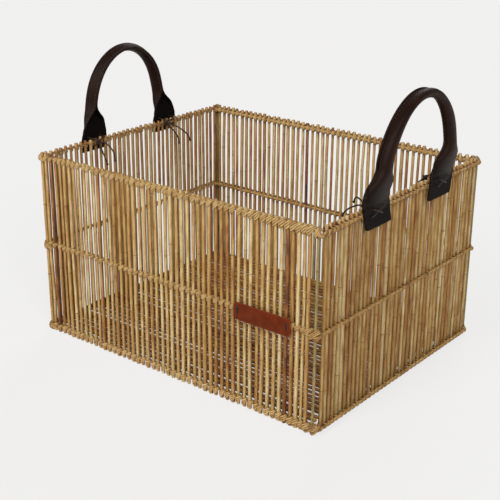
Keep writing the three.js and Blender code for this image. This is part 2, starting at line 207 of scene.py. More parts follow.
class CrateColours(PropertyGroup):
    pale: colour("Pale", "Palest cane", "dac896")
    straw: colour("Straw", "Straw coloured cane", "c0a062")
    honey: colour("Honey", "Honey coloured cane", "ae8446")
    amber: colour("Amber", "Amber coloured cane", "925c2a")
    brown: colour("Brown", "Darkest cane", "5c361a")
    strand_pale: colour("Strand pale", "Palest lashing", "d2b67c")
    strand: colour("Strand", "Lashing", "b8935a")
    strand_brown: colour("Strand brown", "Darkest lashing", "835c34")
    olive: colour("Olive", "Unpeeled cane", "8c8450")
    leather: colour("Leather", "Grain side of the handles", "1f120d")
    flesh: colour("Flesh", "Flesh side of the handles", "0e0b0a")
    tab: colour("Tab", "Flat tabs of the handles", "080403")
    lace: colour("Lace", "Laces", "2e2520")
    label: colour("Label", "Label leather", "692704")
    label_edge: colour("Label edge", "Cut edge of the label", "803418")
    thread: colour("Thread", "Label thread and stitches", "0c0c0f")


class StageSizes(PropertyGroup):
    azimuth: degrees("Azimuth", "Camera's turn round the crate", 38.7)
    elevation: degrees("Elevation", "Camera's angle over the floor", 21.19)
    roll: degrees("Roll", "Camera's roll", 0.42)
    distance: length("Distance", "From the camera to the point that it looks at", 1.4666)
    target: FloatVectorProperty(
        name="Target", description="Point that the camera looks at", size=3, subtype="TRANSLATION",
        default=(-0.0117, -0.0032, 0.1195))
    lens: FloatProperty(name="Lens", description="Focal length in millimetres", default=77.03)
    backdrop: colour("Backdrop", "Colour of the floor and backdrop", "f2f2f2")
    world_tint: colour("World tint", "Colour of the light from all round", "fff3e2")
    world_light: ratio("World light", "Strength of the light from all round", 0.27)
    key_light: ratio("Key light", "Strength of the key light", 1.5)
    fill_light: ratio("Fill light", "Strength of the fill light", 1.6)
    back_light: ratio("Back light", "Strength of the light from behind", 0.6)
    softness: degrees("Softness", "Angle that each light spans", 26)
    floor_span: length("Floor span", "Width of the floor", 12.0)
    shade_fade: length("Shade fade", "Width over which the floor's shade under the basket sets in", 0.03)
    glow: ratio("Glow", "Share of even light on the floor", 0.82)
    glow_under: ratio("Glow under", "Share of even light on the floor under the basket", 0.52)


# Selecting, and bars that are laid along lines

def clear_selection():
    """Leaves edit mode with nothing selected."""
    if bpy.context.mode != "OBJECT":
        bpy.ops.object.mode_set(mode="OBJECT")
    bpy.ops.object.select_all(action="DESELECT")


def select_where(piece, kind, test):
    """Selects the edges or faces of the piece in edit mode that pass a test."""
    bpy.ops.mesh.select_mode(type=kind)
    bpy.ops.mesh.select_all(action="DESELECT")
    shape = bmesh.from_edit_mesh(piece.data)
    for part in shape.edges if kind == "EDGE" else shape.faces:
        part.select_set(test(part))
    shape.select_flush_mode()
    bmesh.update_edit_mesh(piece.data)


def apply_modifier(piece, name, kind, **settings):
    """Adds a modifier to the piece and applies it."""
    clear_selection()
    piece.select_set(True)
    bpy.context.view_layer.objects.active = piece
    modifier = piece.modifiers.new(name, kind)
    for key, value in settings.items():
        setattr(modifier, key, value)
    bpy.ops.object.modifier_apply(modifier=modifier.name)


straight_bars = {}


def straight_bar(sides, segments):
    """The mesh of a closed bar of unit radius along z, with a ring of points at each whole height."""
    if (sides, segments) not in straight_bars:
        clear_selection()
        bpy.ops.mesh.primitive_cylinder_add(
            vertices=sides, radius=1, depth=1, end_fill_type="NOTHING", location=(0, 0, 0.5))
        bpy.ops.object.transform_apply(location=True, rotation=False, scale=False)
        bar = bpy.context.object
        apply_modifier(bar, "Length", "ARRAY", count=segments, use_relative_offset=False,
                       use_constant_offset=True, constant_offset_displace=(0, 0, 1),
                       use_merge_vertices=True, merge_threshold=0.01)
        bpy.ops.object.mode_set(mode="EDIT")
        bpy.ops.mesh.select_all(action="SELECT")
        bpy.ops.mesh.fill_holes(sides=0)
        bpy.ops.mesh.select_all(action="SELECT")
        bpy.ops.mesh.normals_make_consistent(inside=False)
        bpy.ops.object.mode_set(mode="OBJECT")
        mesh = bar.data
        bpy.data.objects.remove(bar)
        straight_bars[(sides, segments)] = mesh
    return straight_bars[(sides, segments)]


def points_of(mesh):
    """The places of a mesh's points."""
    points = np.empty(3 * len(mesh.vertices))
    mesh.vertices.foreach_get("co", points)
    return points.reshape(-1, 3)


def columns(*values):
    """Columns side by side. A single number fills a whole column."""
    return np.stack(np.broadcast_arrays(*values), axis=-1)


def mark(mesh, name, values):
    """Keeps three numbers for each point of a mesh, for its finish to read."""
    layer = mesh.attributes.new(name, "FLOAT_VECTOR", "POINT")
    layer.data.foreach_set("vector", np.ascontiguousarray(values, dtype=np.float32).ravel())


def unit(vectors):
    """The vectors, each made one long."""
    return vectors / np.linalg.norm(vectors, axis=-1, keepdims=True)


def frames(centres, outward):
    """Directions along, across and outward at each point of a line, square to each other."""
    along = unit(np.gradient(centres, axis=0))
    across = unit(np.cross(outward, along))
    return along, across, np.cross(along, across)


def distances(centres):
    """How far along a line each of its points lies."""
    return np.concatenate([[0], np.cumsum(np.linalg.norm(np.diff(centres, axis=0), axis=1))])


def laid(sides, centres, outward, outline, tone):
    """A bar whose rings of points are moved to their places on a line.

    outline(ring, side) gives how far across and outward each point lies, and tone(ring, side) the three
    numbers that its finish reads."""
    mesh = straight_bar(sides, len(centres) - 1).copy()
    straight = points_of(mesh)
    ring = np.rint(straight[:, 2]).astype(int)
    turn = np.arctan2(straight[:, 1], straight[:, 0]) - math.pi / 2
    side = np.rint(turn * sides / (2 * math.pi)).astype(int) % sides
    _, across, out = frames(centres, outward)
    wide, deep = outline(ring, side)
    placed = centres[ring] + across[ring] * wide[:, None] + out[ring] * deep[:, None]
    mesh.vertices.foreach_set("co", placed.ravel())
    mark(mesh, "grain", columns(wide, deep, distances(centres)[ring]))
    mark(mesh, "tone", tone(ring, side))
    mesh.update()
    piece = bpy.data.objects.new("bar", mesh)
    bpy.context.collection.objects.link(piece)
    return piece


def oval_bar(sides, centres, outward, wide, deep, tone):
    """A bar along a line, with an oval outline.

    Its half sizes, outward side and tone are given once for the whole line or once for each ring."""
    count = len(centres)
    wide, deep = np.broadcast_to(wide, count), np.broadcast_to(deep, count)
    outward, tone = np.broadcast_to(outward, (count, 3)), np.broadcast_to(tone, (count, 3))

    def outline(ring, side):
        angle = math.pi / 2 + side * 2 * math.pi / sides
        return wide[ring] * np.cos(angle), deep[ring] * np.sin(angle)

    return laid(sides, centres, outward, outline, lambda ring, side: tone[ring])


def values_at(places, run, values):
    """A line's values at places between its points, run being how far along each point lies."""
    return np.stack([np.interp(places, run, column) for column in values.T], axis=1)


def through(points, steps):
    """Points on a smooth line through the given ones."""
    points = np.asarray(points, float)
    before = 2 * points[0] - points[1]
    after = 2 * points[-1] - points[-2]
    padded = np.vstack([before, points, after])
    t = np.linspace(0, 1, steps, endpoint=False)[:, None]
    runs = [
        b + ((c - a) * t + (2 * a - 5 * b + 4 * c - d) * t**2 + (3 * b - a - 3 * c + d) * t**3) / 2
        for a, b, c, d in zip(padded, padded[1:], padded[2:], padded[3:])
    ]
    return np.vstack([*runs, points[-1:]])


def joined(name, pieces, crisp=50):
    """Several pieces made one, smooth but for edges of more than crisp degrees."""
    clear_selection()
    for piece in pieces:
        piece.select_set(True)
    bpy.context.view_layer.objects.active = pieces[0]
    if len(pieces) > 1:
        bpy.ops.object.join()
    made = bpy.context.object
    made.name = name
    made.data.name = name
    bpy.ops.object.shade_smooth_by_angle(angle=math.radians(crisp))
    return made


def dress(piece, finish, nodes=(), body="basket"):
    """Gives a piece its finish and its body, and hides the nodes that it stands for."""
    piece.data.materials.clear()
    piece.data.materials.append(finish)
    if body:
        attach(piece, body)
    if nodes:
        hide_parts(*nodes)


# Finishes

class Finish:
    """A procedural material in the making."""

    def __init__(self, name, roughness, specular=0.5):
        self.material = bpy.data.materials.new(name)
        self.material.use_nodes = True
        self.tree = self.material.node_tree
        self.shader = self.tree.nodes["Principled BSDF"]
        self.shader.inputs["Roughness"].default_value = roughness
        self.shader.inputs["Specular IOR Level"].default_value = specular

    def feed(self, socket, value):
        """Links an input to another node's output, or sets it to a value."""
        if isinstance(value, bpy.types.NodeSocket):
            self.tree.links.new(value, socket)
        elif value is not None:
            socket.default_value = value

    def add(self, kind, inputs, output=0, **settings):
        """Adds a node and returns one of its outputs."""
        node = self.tree.nodes.new(kind)
        for key, value in settings.items():
            setattr(node, key, value)
        for key, value in inputs.items():
            self.feed(node.inputs[key], value)
        return node.outputs[output]

    def attribute(self, name):
        """The three numbers that the piece's points keep under a name."""
        return self.add("ShaderNodeAttribute", {}, "Vector", attribute_name=name)

    def parts(self, vector):
        """A vector's three numbers."""
        node = self.tree.nodes.new("ShaderNodeSeparateXYZ")
        self.feed(node.inputs[0], vector)
        return node.outputs[0], node.outputs[1], node.outputs[2]

    def math(self, operation, a, b=0.0, c=0.0, clamp=False):
        return self.add("ShaderNodeMath", {0: a, 1: b, 2: c}, operation=operation, use_clamp=clamp)

    def times(self, a, b):
        return self.math("MULTIPLY", a, b)

    def scaled(self, vector, scale):
        return self.add("ShaderNodeVectorMath", {0: vector, 1: scale}, operation="MULTIPLY")

    def moved(self, vector, offset):
        return self.add("ShaderNodeVectorMath", {0: vector, 1: offset}, operation="ADD")

    def noise(self, vector, scale, detail=3.0, roughness=0.55):
        inputs = {"Vector": vector, "Scale": scale, "Detail": detail, "Roughness": roughness}
        return self.add("ShaderNodeTexNoise", inputs, "Fac")

    def between(self, value, low, high, to_low=0.0, to_high=1.0):
        """The value brought from one range to another, smoothly and held inside it."""
        inputs = {"Value": value, "From Min": low, "From Max": high, "To Min": to_low, "To Max": to_high}
        return self.add("ShaderNodeMapRange", inputs, interpolation_type="SMOOTHSTEP")

    def ramp(self, value, stops):
        """The colour that stands at the value's place between the stops."""
        node = self.tree.nodes.new("ShaderNodeValToRGB")
        self.feed(node.inputs[0], value)
        while len(node.color_ramp.elements) < len(stops):
            node.color_ramp.elements.new(0.5)
        for element, (place, shade) in zip(node.color_ramp.elements, stops):
            element.position = place
            element.color = (*shade, 1)
        return node.outputs[0]

    def mix(self, amount, one, other, kind="MIX"):
        """One colour, turned into the other as far as the amount says."""
        node = self.tree.nodes.new("ShaderNodeMix")
        node.data_type = "RGBA"
        node.blend_type = kind
        self.feed(node.inputs["Factor"], amount)
        for socket, value in ((node.inputs[6], one), (node.inputs[7], other)):
            self.feed(socket, value if isinstance(value, bpy.types.NodeSocket) else (*value, 1))
        return node.outputs[2]

    def tinted(self, amount, base, tint):
        """The base colour, multiplied by the tint as far as the amount says."""
        return self.mix(amount, base, self.mix(1.0, base, tint, "MULTIPLY"))

    def bump(self, height, strength, distance):
        """Raises the surface by the height, in metres at most the distance."""
        inputs = {"Height": height, "Strength": strength, "Distance": distance}
        self.feed(self.shader.inputs["Normal"], self.add("ShaderNodeBump", inputs, "Normal"))

    def done(self, base, roughness=None):
        """The material with its colour and roughness."""
        self.feed(self.shader.inputs["Base Color"], base)
        self.feed(self.shader.inputs["Roughness"], roughness)
        return self.material


finishes = {}

# Tints multiply the colour under them
FIBRE_TINT = (0.74, 0.66, 0.54)
STREAK_TINT = (0.5, 0.36, 0.24)
# Painted shade on the sides of sticks and strands and on their faces turned away from outward
SIDE_SHADE_TINT = (0.5, 0.34, 0.2)
CLOUD_TINT = (1.55, 1.45, 1.4)
DULL_TINT = (0.72, 0.68, 0.68)
TWIST_TINT = (2.6, 2.5, 2.4)

# Colours of marks and cut edges
SCAR = linear("4a2812")
SPECK = linear("3e2410")
WORN_EDGE = linear("4a3830")
LACE_EDGE = linear("382b26")

SEED_STEPS = (3.1, 5.3, 7.7)
FINE_RELIEF = 0.0003
LEATHER_RELIEF = 0.0004
TWIST_ALONG = 2600
TWIST_ACROSS = 2200


def cane(name, shades, roughness, scars, spots, half):
    """Cane along its grain: blotches, streaks, fibres, rings at the nodes and specks, with painted shade on
    its sides and on the face turned away from its outward side.

    scars and spots say how strong the rings and the specks are, half is half the thickness of a stick,
    which sets where the painted shade on the sides begins."""
    if name not in finishes:
        finish = Finish(name, roughness)
        grain = finish.attribute("grain")
        warmth, ring, seed = finish.parts(finish.attribute("tone"))
        offset = [finish.times(seed, step) for step in SEED_STEPS]
        place = finish.moved(grain, finish.add("ShaderNodeCombineXYZ", dict(enumerate(offset))))

        def pattern(squeeze, scale, detail):
            """Noise drawn out along the grain."""
            return finish.noise(finish.scaled(place, (1, 1, squeeze)), scale, detail)

        blotch = pattern(0.16, scale=260, detail=4)
        streak = pattern(0.05, scale=560, detail=3)
        fibre = pattern(0.02, scale=1700, detail=2)
        speck = pattern(0.4, scale=620, detail=2)
        spread = finish.math("MULTIPLY_ADD", blotch, 1.3, -0.65)
        base = finish.ramp(finish.math("ADD", warmth, spread, clamp=True), shades)
        base = finish.tinted(finish.between(fibre, 0.35, 0.7), base, FIBRE_TINT)
        base = finish.tinted(finish.between(streak, 0.56, 0.72, to_high=spots), base, STREAK_TINT)
        marked = finish.math("MULTIPLY_ADD", blotch, 0.3, ring)
        base = finish.mix(finish.between(marked, 0.55, 1.05, to_high=scars), base, SCAR)
        base = finish.mix(finish.between(speck, 0.64, 0.72, to_high=spots), base, SPECK)
        wide, deep, _ = finish.parts(grain)
        # Painted shade: darker towards the sides and on the face turned away from outward, where shade
        # falls between sticks and strands
        painted_side_shade = finish.between(finish.math("ABSOLUTE", wide), half * 0.5, half, to_high=0.6)
        inside = finish.between(deep, half * 0.4, -half * 0.5, to_high=0.5)
        base = finish.tinted(finish.math("ADD", painted_side_shade, inside, clamp=True), base, SIDE_SHADE_TINT)
        height = finish.math("ADD", finish.times(fibre, 0.6), finish.times(blotch, 0.6))
        finish.bump(height, strength=0.5, distance=FINE_RELIEF)
        dull = finish.between(blotch, 0.3, 0.7, roughness - 0.1, roughness + 0.1)
        finishes[name] = finish.done(base, dull)
    return finishes[name]


def straw_cane(shades):
    """Peeled cane, from pale straw to brown."""
    stops = [(0.0, shades.pale), (0.3, shades.straw), (0.55, shades.honey), (0.78, shades.amber),
             (1.0, shades.brown)]
    return cane("straw cane", stops, roughness=0.5, scars=0.75, spots=0.8, half=0.0026)


def strand_cane(shades):
    """The split cane of the lashings."""
    stops = [(0.0, shades.strand_pale), (0.5, shades.strand), (1.0, shades.strand_brown)]
    # half sets how far in from a strand's sides the painted shade reaches
    return cane("lashing strand", stops, roughness=0.58, scars=0.0, spots=0.2, half=0.0011)


def olive_cane(shades):
    """Cane with its green skin."""
    stops = [(0.0, shades.strand), (0.45, shades.olive), (1.0, shades.brown)]
    return cane("olive cane", stops, roughness=0.5, scars=0.7, spots=0.8, half=0.0026)


def handle_leather(shades):
    """Waxed leather: fine pores, creases across the roll, matter tabs, and a fibrous flesh side."""
    name = "handle leather"
    if name not in finishes:
        finish = Finish(name, roughness=0.42, specular=0.085)
        place = finish.attribute("grain")
        flesh, flat, edge = finish.parts(finish.attribute("tone"))
        cells = {"Vector": place, "Scale": 900}
        pores = finish.add("ShaderNodeTexVoronoi", cells, "Distance", feature="DISTANCE_TO_EDGE")
        pebble = finish.noise(place, scale=420, detail=4)
        crease = finish.noise(finish.scaled(place, (0.35, 1, 1)), scale=160, detail=3)
        cloud = finish.noise(place, scale=38, detail=3)
        fuzz = finish.noise(finish.scaled(place, (1, 1, 0.4)), scale=900, detail=4, roughness=0.7)
        cloudy = finish.between(cloud, 0.35, 0.7)
        grain_side = finish.tinted(cloudy, shades.leather, CLOUD_TINT)
        grain_side = finish.mix(flat, grain_side, shades.tab)
        wear = finish.times(finish.times(edge, finish.between(pebble, 0.4, 0.65)), 0.55)
        grain_side = finish.mix(wear, grain_side, WORN_EDGE)
        base = finish.mix(flesh, grain_side, shades.flesh)
        pored = finish.between(pores, 0.0, 0.25, to_high=0.5)
        height = finish.math("ADD", pored, finish.times(crease, 0.7))
        height = finish.math("ADD", height, finish.times(flesh, fuzz))
        finish.bump(height, strength=0.35, distance=LEATHER_RELIEF)
        smooth = finish.between(cloud, 0.3, 0.7, to_low=0.36, to_high=0.48)
        dull = finish.math("MAXIMUM", finish.times(flesh, 0.9), finish.times(flat, 0.62))
        finishes[name] = finish.done(base, finish.math("MAXIMUM", smooth, dull))
    return finishes[name]


def plain_leather(name, shade, edge_shade):
    """Smooth leather with fine grain, paler where its edge is cut."""
    if name not in finishes:
        finish = Finish(name, roughness=0.5, specular=0.12)
        place = finish.add("ShaderNodeTexCoord", {}, "Object")
        pebble = finish.noise(place, scale=700, detail=4)
        cloud = finish.noise(place, scale=90, detail=3)
        pointed = finish.add("ShaderNodeNewGeometry", {}, "Pointiness")
        base = finish.tinted(finish.between(cloud, 0.35, 0.7), shade, DULL_TINT)
        base = finish.mix(finish.between(pointed, 0.5, 0.58), base, edge_shade)
        finish.bump(pebble, strength=0.3, distance=FINE_RELIEF)
        dull = finish.between(pebble, 0.3, 0.7, to_low=0.42, to_high=0.62)
        finishes[name] = finish.done(base, dull)
    return finishes[name]


def lace_leather(shades):
    return plain_leather("lace leather", shades.lace, LACE_EDGE)


def spun_thread(name, shade):
    """Waxed thread with its twist."""
    if name not in finishes:
        finish = Finish(name, roughness=0.6)
        across, _, along = finish.parts(finish.attribute("grain"))
        slope = finish.math("MULTIPLY_ADD", along, TWIST_ALONG, finish.times(across, TWIST_ACROSS))
        twist = finish.math("MULTIPLY_ADD", finish.math("SINE", slope), 0.5, 0.5)
        base = finish.tinted(finish.times(twist, 0.5), shade, TWIST_TINT)
        finish.bump(twist, strength=0.5, distance=FINE_RELIEF)
        finishes[name] = finish.done(base)
    return finishes[name]


# Sticks

UP = (0.0, 0.0, 1.0)
FORWARD = (0.0, -1.0, 0.0)
STICK_SIDES = 8
ROD_SIDES = 10
ROD_RINGS = 24
BEARER_RINGS = 12
ROD_BEND = 0.00012
STRAY_LIMIT = 2.2
STICK_SPREAD = 1.03
ROD_SPREAD = (0.95, 1.03)
BEARER_SPREAD = (0.95, 1.04)
POST_SEED = 21
BASE_SEED = 31
HONEY_FROM = 0.84
AMBER_FROM = 0.97

# Shares of a stick's length from its foot to the first node, and from there to the second
FIRST_NODE_SHARES = (0.14, 0.45)
SECOND_NODE_SHARES = (0.25, 0.45)

# A stick's ten rings: thickness and swelling as shares, and how strongly each is marked as node or cut end
RING_SHARES = np.array([0.86, 1.02, 1, 1, 1, 0.99, 1, 0.98, 0.96, 0.8])
SWELL_SHARES = np.array([0, 0, 0, 1, 0, 0, 0.8, 0, 0, 0])
NODE_MARKS = np.array([0.5, 0, 0, 1, 0, 0, 1, 0, 0, 0.4])


def turned(wall, vectors):
    """Directions given along, into and up a wall, in the crate's own frame."""
    cos, sin = math.cos(wall.turn), math.sin(wall.turn)
    along, into, up = np.moveaxis(np.asarray(vectors, float), -1, 0)
    return columns(cos * along - sin * into, sin * along + cos * into, up)


def on_wall(wall, points):
    """Places given along, into and up a wall, in the crate's own frame."""
    return turned(wall, points) + [*wall.centre, 0]


def corner_room(sizes):
    """From a corner to the first stick of a wall, as the solids' six-sided sticks stand."""
    return sizes.post_across / 2 + sizes.seat + sizes.across / 2 / math.cos(math.pi / 6)


def grown(count, lowest, highest, rng, sizes):
    """Heights, straying and radii of sticks at ten rings, and their common radius.

    The rings are two at each cut end and three at each of two nodes."""
    radius = sizes.across / 2 * rng.uniform(sizes.thinnest, STICK_SPREAD, count)
    low_node = lowest + (highest - lowest) * rng.uniform(*FIRST_NODE_SHARES, count)
    high_node = low_node + (highest - lowest) * rng.uniform(*SECOND_NODE_SHARES, count)
    half = sizes.node_half
    heights = columns(
        lowest, lowest + sizes.tip, low_node - half, low_node, low_node + half,
        high_node - half, high_node, high_node + half, highest - sizes.tip, highest)
    limit = STRAY_LIMIT * sizes.wander
    kinks = rng.normal(0, sizes.wander, (count, 4)).clip(-limit, limit)
    corners = columns(lowest, low_node, high_node, highest)
    strays = np.stack([np.interp(h, c, k) for h, c, k in zip(heights, corners, kinks)])
    radii = radius[:, None] * (RING_SHARES + SWELL_SHARES * sizes.swell)
    return heights, strays, radii, radius


def stick_lines(wall, sizes):
    """The sticks of a wall, the same each time they are asked for."""
    rng = np.random.default_rng(wall.seed)
    run = wall.span - 2 * corner_room(sizes)
    places = np.linspace(-run / 2, run / 2, round(run / sizes.pitch) + 1)
    if wall.near:
        places -= wall.near * sizes.crowd * np.exp((wall.near * places - run / 2) / sizes.crowd_run)
    tops = RIM + sizes.stub_rise * rng.uniform(0.8, 1, len(places))
    heights, strays, radii, radius = grown(len(places), 0, tops, rng, sizes)
    inset = wall.rod_side * (sizes.across / 2 - radius)
    return heights, places[:, None] + strays, radii, radius, inset, rng


def warmths(count, shift, rng):
    """How warm each stick's colour is: mostly straw, some honey, a few amber or brown."""
    common = rng.normal(0.3, 0.13, count)
    kinds = rng.uniform(0, 1, count)
    common = np.where(kinds > HONEY_FROM, rng.uniform(0.46, 0.62, count), common)
    common = np.where(kinds > AMBER_FROM, 0.8, common)
    return (common + shift).clip(0.03, 1)


def stick_tones(warmth, rng):
    """Warmth, node marks and seed of one stick's rings."""
    return columns(warmth, NODE_MARKS * rng.uniform(0.6, 1), rng.uniform(0, 1))


class CrateOperator:
    bl_options = {"REGISTER", "UNDO"}


class CRATE_OT_wall_sticks(CrateOperator, Operator):
    """Upright sticks of the four walls, each wall with the rod of its band"""
    bl_idname = "crate.wall_sticks"
    bl_label = "Wall Sticks"

    def execute(self, context):
        sizes, shades = context.scene.crate_sticks, context.scene.crate_colours
        for wall in WALLS:
            heights, strays, radii, _, inset, rng = stick_lines(wall, sizes)
            tints = warmths(len(heights), wall.warmth, rng)
            pieces = [rod_bar(wall, "band", rng, 0.35 + wall.warmth / 2)]
            for i, tint in enumerate(tints):
                line = on_wall(wall, columns(strays[i], inset[i], heights[i]))
                deep = radii[i] * rng.uniform(0.93, 1)
                pieces.append(
                    oval_bar(STICK_SIDES, line, FORWARD, radii[i], deep, stick_tones(tint, rng)))
            panel = joined(f"{wall.name}_wall_canes", pieces)
            dress(panel, straw_cane(shades), [f"{wall.name}_wall_sticks"])
        return {"FINISHED"}


def rod_half(wall):
    """Half the thickness of a wall's rods."""
    return ROD_HALF * (bpy.context.scene.crate_sticks.short_rod if wall.rod_side < 0 else 1)


def rod_bar(wall, level, rng, tint):
    """A rod along a wall, with slight bends."""
    low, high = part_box(f"{wall.name}_rim_rod")
    reach = max(high.x - low.x, high.y - low.y) / 2
    bends = rng.normal(0, ROD_BEND, (ROD_RINGS, 2))
    line = on_wall(wall, columns(
        np.linspace(-reach, reach, ROD_RINGS), wall.rod_side * ROD_OFFSET + bends[:, 0],
        LEVELS[level] + bends[:, 1]))
    radius = rod_half(wall) * rng.uniform(*ROD_SPREAD, ROD_RINGS)
    scars = (rng.uniform(0, 1, ROD_RINGS) > 0.85) * 0.8
    return oval_bar(ROD_SIDES, line, UP, radius, radius, columns(tint, scars, rng.uniform()))


class CRATE_OT_rods(CrateOperator, Operator):
    """Rods along the rim and the foot of each wall"""
    bl_idname = "crate.rods"
    bl_label = "Rim and Foot Rods"

    def execute(self, context):
        shades = context.scene.crate_colours
        for wall in WALLS:
            for level in ("rim", "foot"):
                rng = np.random.default_rng(wall.seed * 10 + len(level))
                rod = joined(f"{wall.name}_{level}_cane", [rod_bar(wall, level, rng, 0.35)])
                dress(rod, straw_cane(shades), [f"{wall.name}_{level}_rod"])
        return {"FINISHED"}


class CRATE_OT_posts(CrateOperator, Operator):
    """Corner posts: the near one thin, the front left one peeled, the others unpeeled"""
    bl_idname = "crate.posts"
    bl_label = "Corner Posts"

    def execute(self, context):
        sizes, shades = context.scene.crate_sticks, context.scene.crate_colours
        rng = np.random.default_rng(POST_SEED)
        for end in ("front", "back"):
            for side in ("left", "right"):
                node = f"corner_post_{end}_{side}"
                place = middle(node)
                heights, strays, radii, radius = grown(1, 0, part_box(node)[1].z, rng, sizes)
                near = (end, side) == ("front", "right")
                thin = sizes.near_post if near else 1
                shift = sizes.near_shift if near else 0
                half = radii[0] * (sizes.post_across / 2 / radius[0] * thin)
                line = columns(place.x - shift + strays[0] / 2, place.y, heights[0])
                tone = stick_tones(rng.uniform(0.35, 0.6), rng)
                post = joined(f"{end}_{side}_post", [oval_bar(ROD_SIDES, line, FORWARD, half, half, tone)])
                if (end, side) == ("front", "left"):
                    dress(post, straw_cane(shades), [node])
                else:
                    dress(post, olive_cane(shades), [node])
        return {"FINISHED"}


class CRATE_OT_base(CrateOperator, Operator):
    """Base mat of long sticks on three bearers"""
    bl_idname = "crate.base"
    bl_label = "Base"

    def execute(self, context):
        sizes, shades = context.scene.crate_sticks, context.scene.crate_colours
        rng = np.random.default_rng(BASE_SEED)
        low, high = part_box("base_sticks")
        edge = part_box("base_bearer_left")[1].y
        places = np.linspace(-edge, edge, round(2 * edge / sizes.pitch) + 1)
        reach, strays, radii, radius = grown(len(places), low.x, high.x, rng, sizes)
        tints = warmths(len(places), 0.3, rng)
        pieces = [self.bearer(0, rng)]
        for i, tint in enumerate(tints):
            line = columns(reach[i], places[i] + strays[i], high.z - sizes.across + radius[i])
            pieces.append(oval_bar(STICK_SIDES, line, UP, radii[i], radii[i], stick_tones(tint, rng)))
        dress(joined("base_canes", pieces), straw_cane(shades), ["base_sticks"])
        for side in ("left", "right"):
            node = f"base_bearer_{side}"
            bearer = joined(f"{side}_bearer", [self.bearer(middle(node).x, rng)])
            dress(bearer, straw_cane(shades), [node])
        return {"FINISHED"}

    @staticmethod
    def bearer(x, rng):
        """A stick across the mat, under it."""
        low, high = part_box("base_bearer_left")
        line = columns(x, np.linspace(low.y, high.y, BEARER_RINGS), (low.z + high.z) / 2)
        radius = ROD_HALF * rng.uniform(*BEARER_SPREAD, BEARER_RINGS)
        return oval_bar(ROD_SIDES, line, UP, radius, radius, (0.7, 0, rng.uniform()))


# Lashings

STRAND_SIDES = 6
TONE_RUN = 6

# How much single turns differ in size and slant
TURN_SPREAD = (0.93, 1.08)
SLANT_SPREAD = (0.6, 1.3)

# How warm a strand's colour is, how much strands and their runs differ, and how the long rims are shifted
STRAND_WARMTH = 0.42
STRANDS_DIFFER = 0.2
RUNS_DIFFER = 0.22
COMMON_SHIFT = 0.1
LONG_RIM_SHIFT = -0.12

# Angles of a turn's stations over a stick and round the rod
CROSSING = np.radians([-75, -45, -15, 15, 45, 75])
ROUND_ROD = np.radians([65, 22, -22, -65])

# Widths of a strand at a stick's side, middle and other side, as shares of the common width
CROSSING_WIDTH_SHARES = (0.76, 1.1, 0.76)
CROSSING_LEAN = 0.8

# Depth of a turn in a gap as a share of the rod's, and how much its outward side leans along and up there
GAP_DEPTH_SHARE = 0.42
GAP_LEAN = 0.7

# Share of a strand's depth by which its middle stands off the rod
ROD_GRIP_SHARE = 0.35

# Where a corner strip faces along the wall, and where it faces up or down
POST_REACH = 0.0055
ON_FACE = -0.003

# For the front and the right wall: distances from the near corner, and how much bigger the turns are there
GROWTH = {
    1: ([0, 0.11, 0.225, 0.45], [1.45, 1.1, 1, 0.78]),
    -1: ([0, 0.03, 0.06], [1.8, 1.5, 1]),
}

# Routes of the strips over a corner post, in millimetres from the corner: along, into and up the wall
CORNER_STRIPS = {
    "rim": [
        [(-4.6, 1, -4.4), (-4.4, -2.2, -4), (-3, -4.1, -2.4), (-1.4, -4.4, 0.6), (-0.4, -4, 3.4),
         (0.3, -2, 4.8), (0.8, 1.5, 4.6)],
        [(-0.8, -1.5, 5), (-0.2, -3.9, 4), (1.2, -4.4, 1.8), (2.8, -3.9, -0.6), (4, -2, -2.2),
         (4.4, 1, -2.6)],
    ],
    "band": [
        [(-11, 0.4, -5.4), (-9.8, -3, -5.2), (-6, -4.4, -3.4), (-2.4, -4.5, -0.4), (0.6, -3.8, 2.2),
         (2.2, -1.2, 3.4), (2.6, 1.6, 3.2)],
        [(-3.4, -2.4, -5.6), (-1.2, -4.3, -5.8), (1.8, -4.2, -4.6), (4.2, -1.6, -3), (4.9, 2.4, -1.6),
         (4.4, 6.6, -0.6), (3.2, 9, -0.2)],
    ],
    "foot": [
        [(-13, 0.4, -3.8), (-11.6, -3, -3.8), (-7, -4.4, -1.6), (-2.6, -4.5, 1.6), (0.8, -3.6, 4.6),
         (2.4, -0.8, 5.8), (2.6, 2, 5.4)],
        [(-3.6, -1.6, -3.4), (-1, -4.1, -3.4), (2.4, -4.2, -1.6), (4.5, -1.4, 0.8), (5, 2.6, 2.8),
         (3.8, 6.4, 3.4)],
    ],
}


def growth(wall, level, along):
    """How much bigger a turn is than the common one: turns grow towards the near corner, the rims' most."""
    if not wall.near or (level == "foot" and wall.rod_side < 0):
        return 1.0
    grown_by = np.interp(wall.span / 2 - wall.near * along, *GROWTH[wall.near])
    return grown_by if level == "rim" else 1 + max(grown_by - 1, 0) / 2


def turn_sizes(wall, level, sizes):
    """Width of one strand and climb of a turn."""
    if wall.rod_side < 0:
        return sizes.short_across, sizes.short_rise
    return {
        "rim": (sizes.rim_across, sizes.rim_rise),
        "band": (sizes.band_across, sizes.band_rise),
        "foot": (sizes.foot_across, sizes.foot_rise),
    }[level]


def round_rod(x, over_rod, tilt):
    """Stations of a turn on its way round the rod, each a place and its outward side."""
    sines, cosines = np.sin(ROUND_ROD), np.cos(ROUND_ROD)
    return columns(x + tilt * sines, ROD_OFFSET + over_rod * cosines, over_rod * sines, 0, cosines, sines)


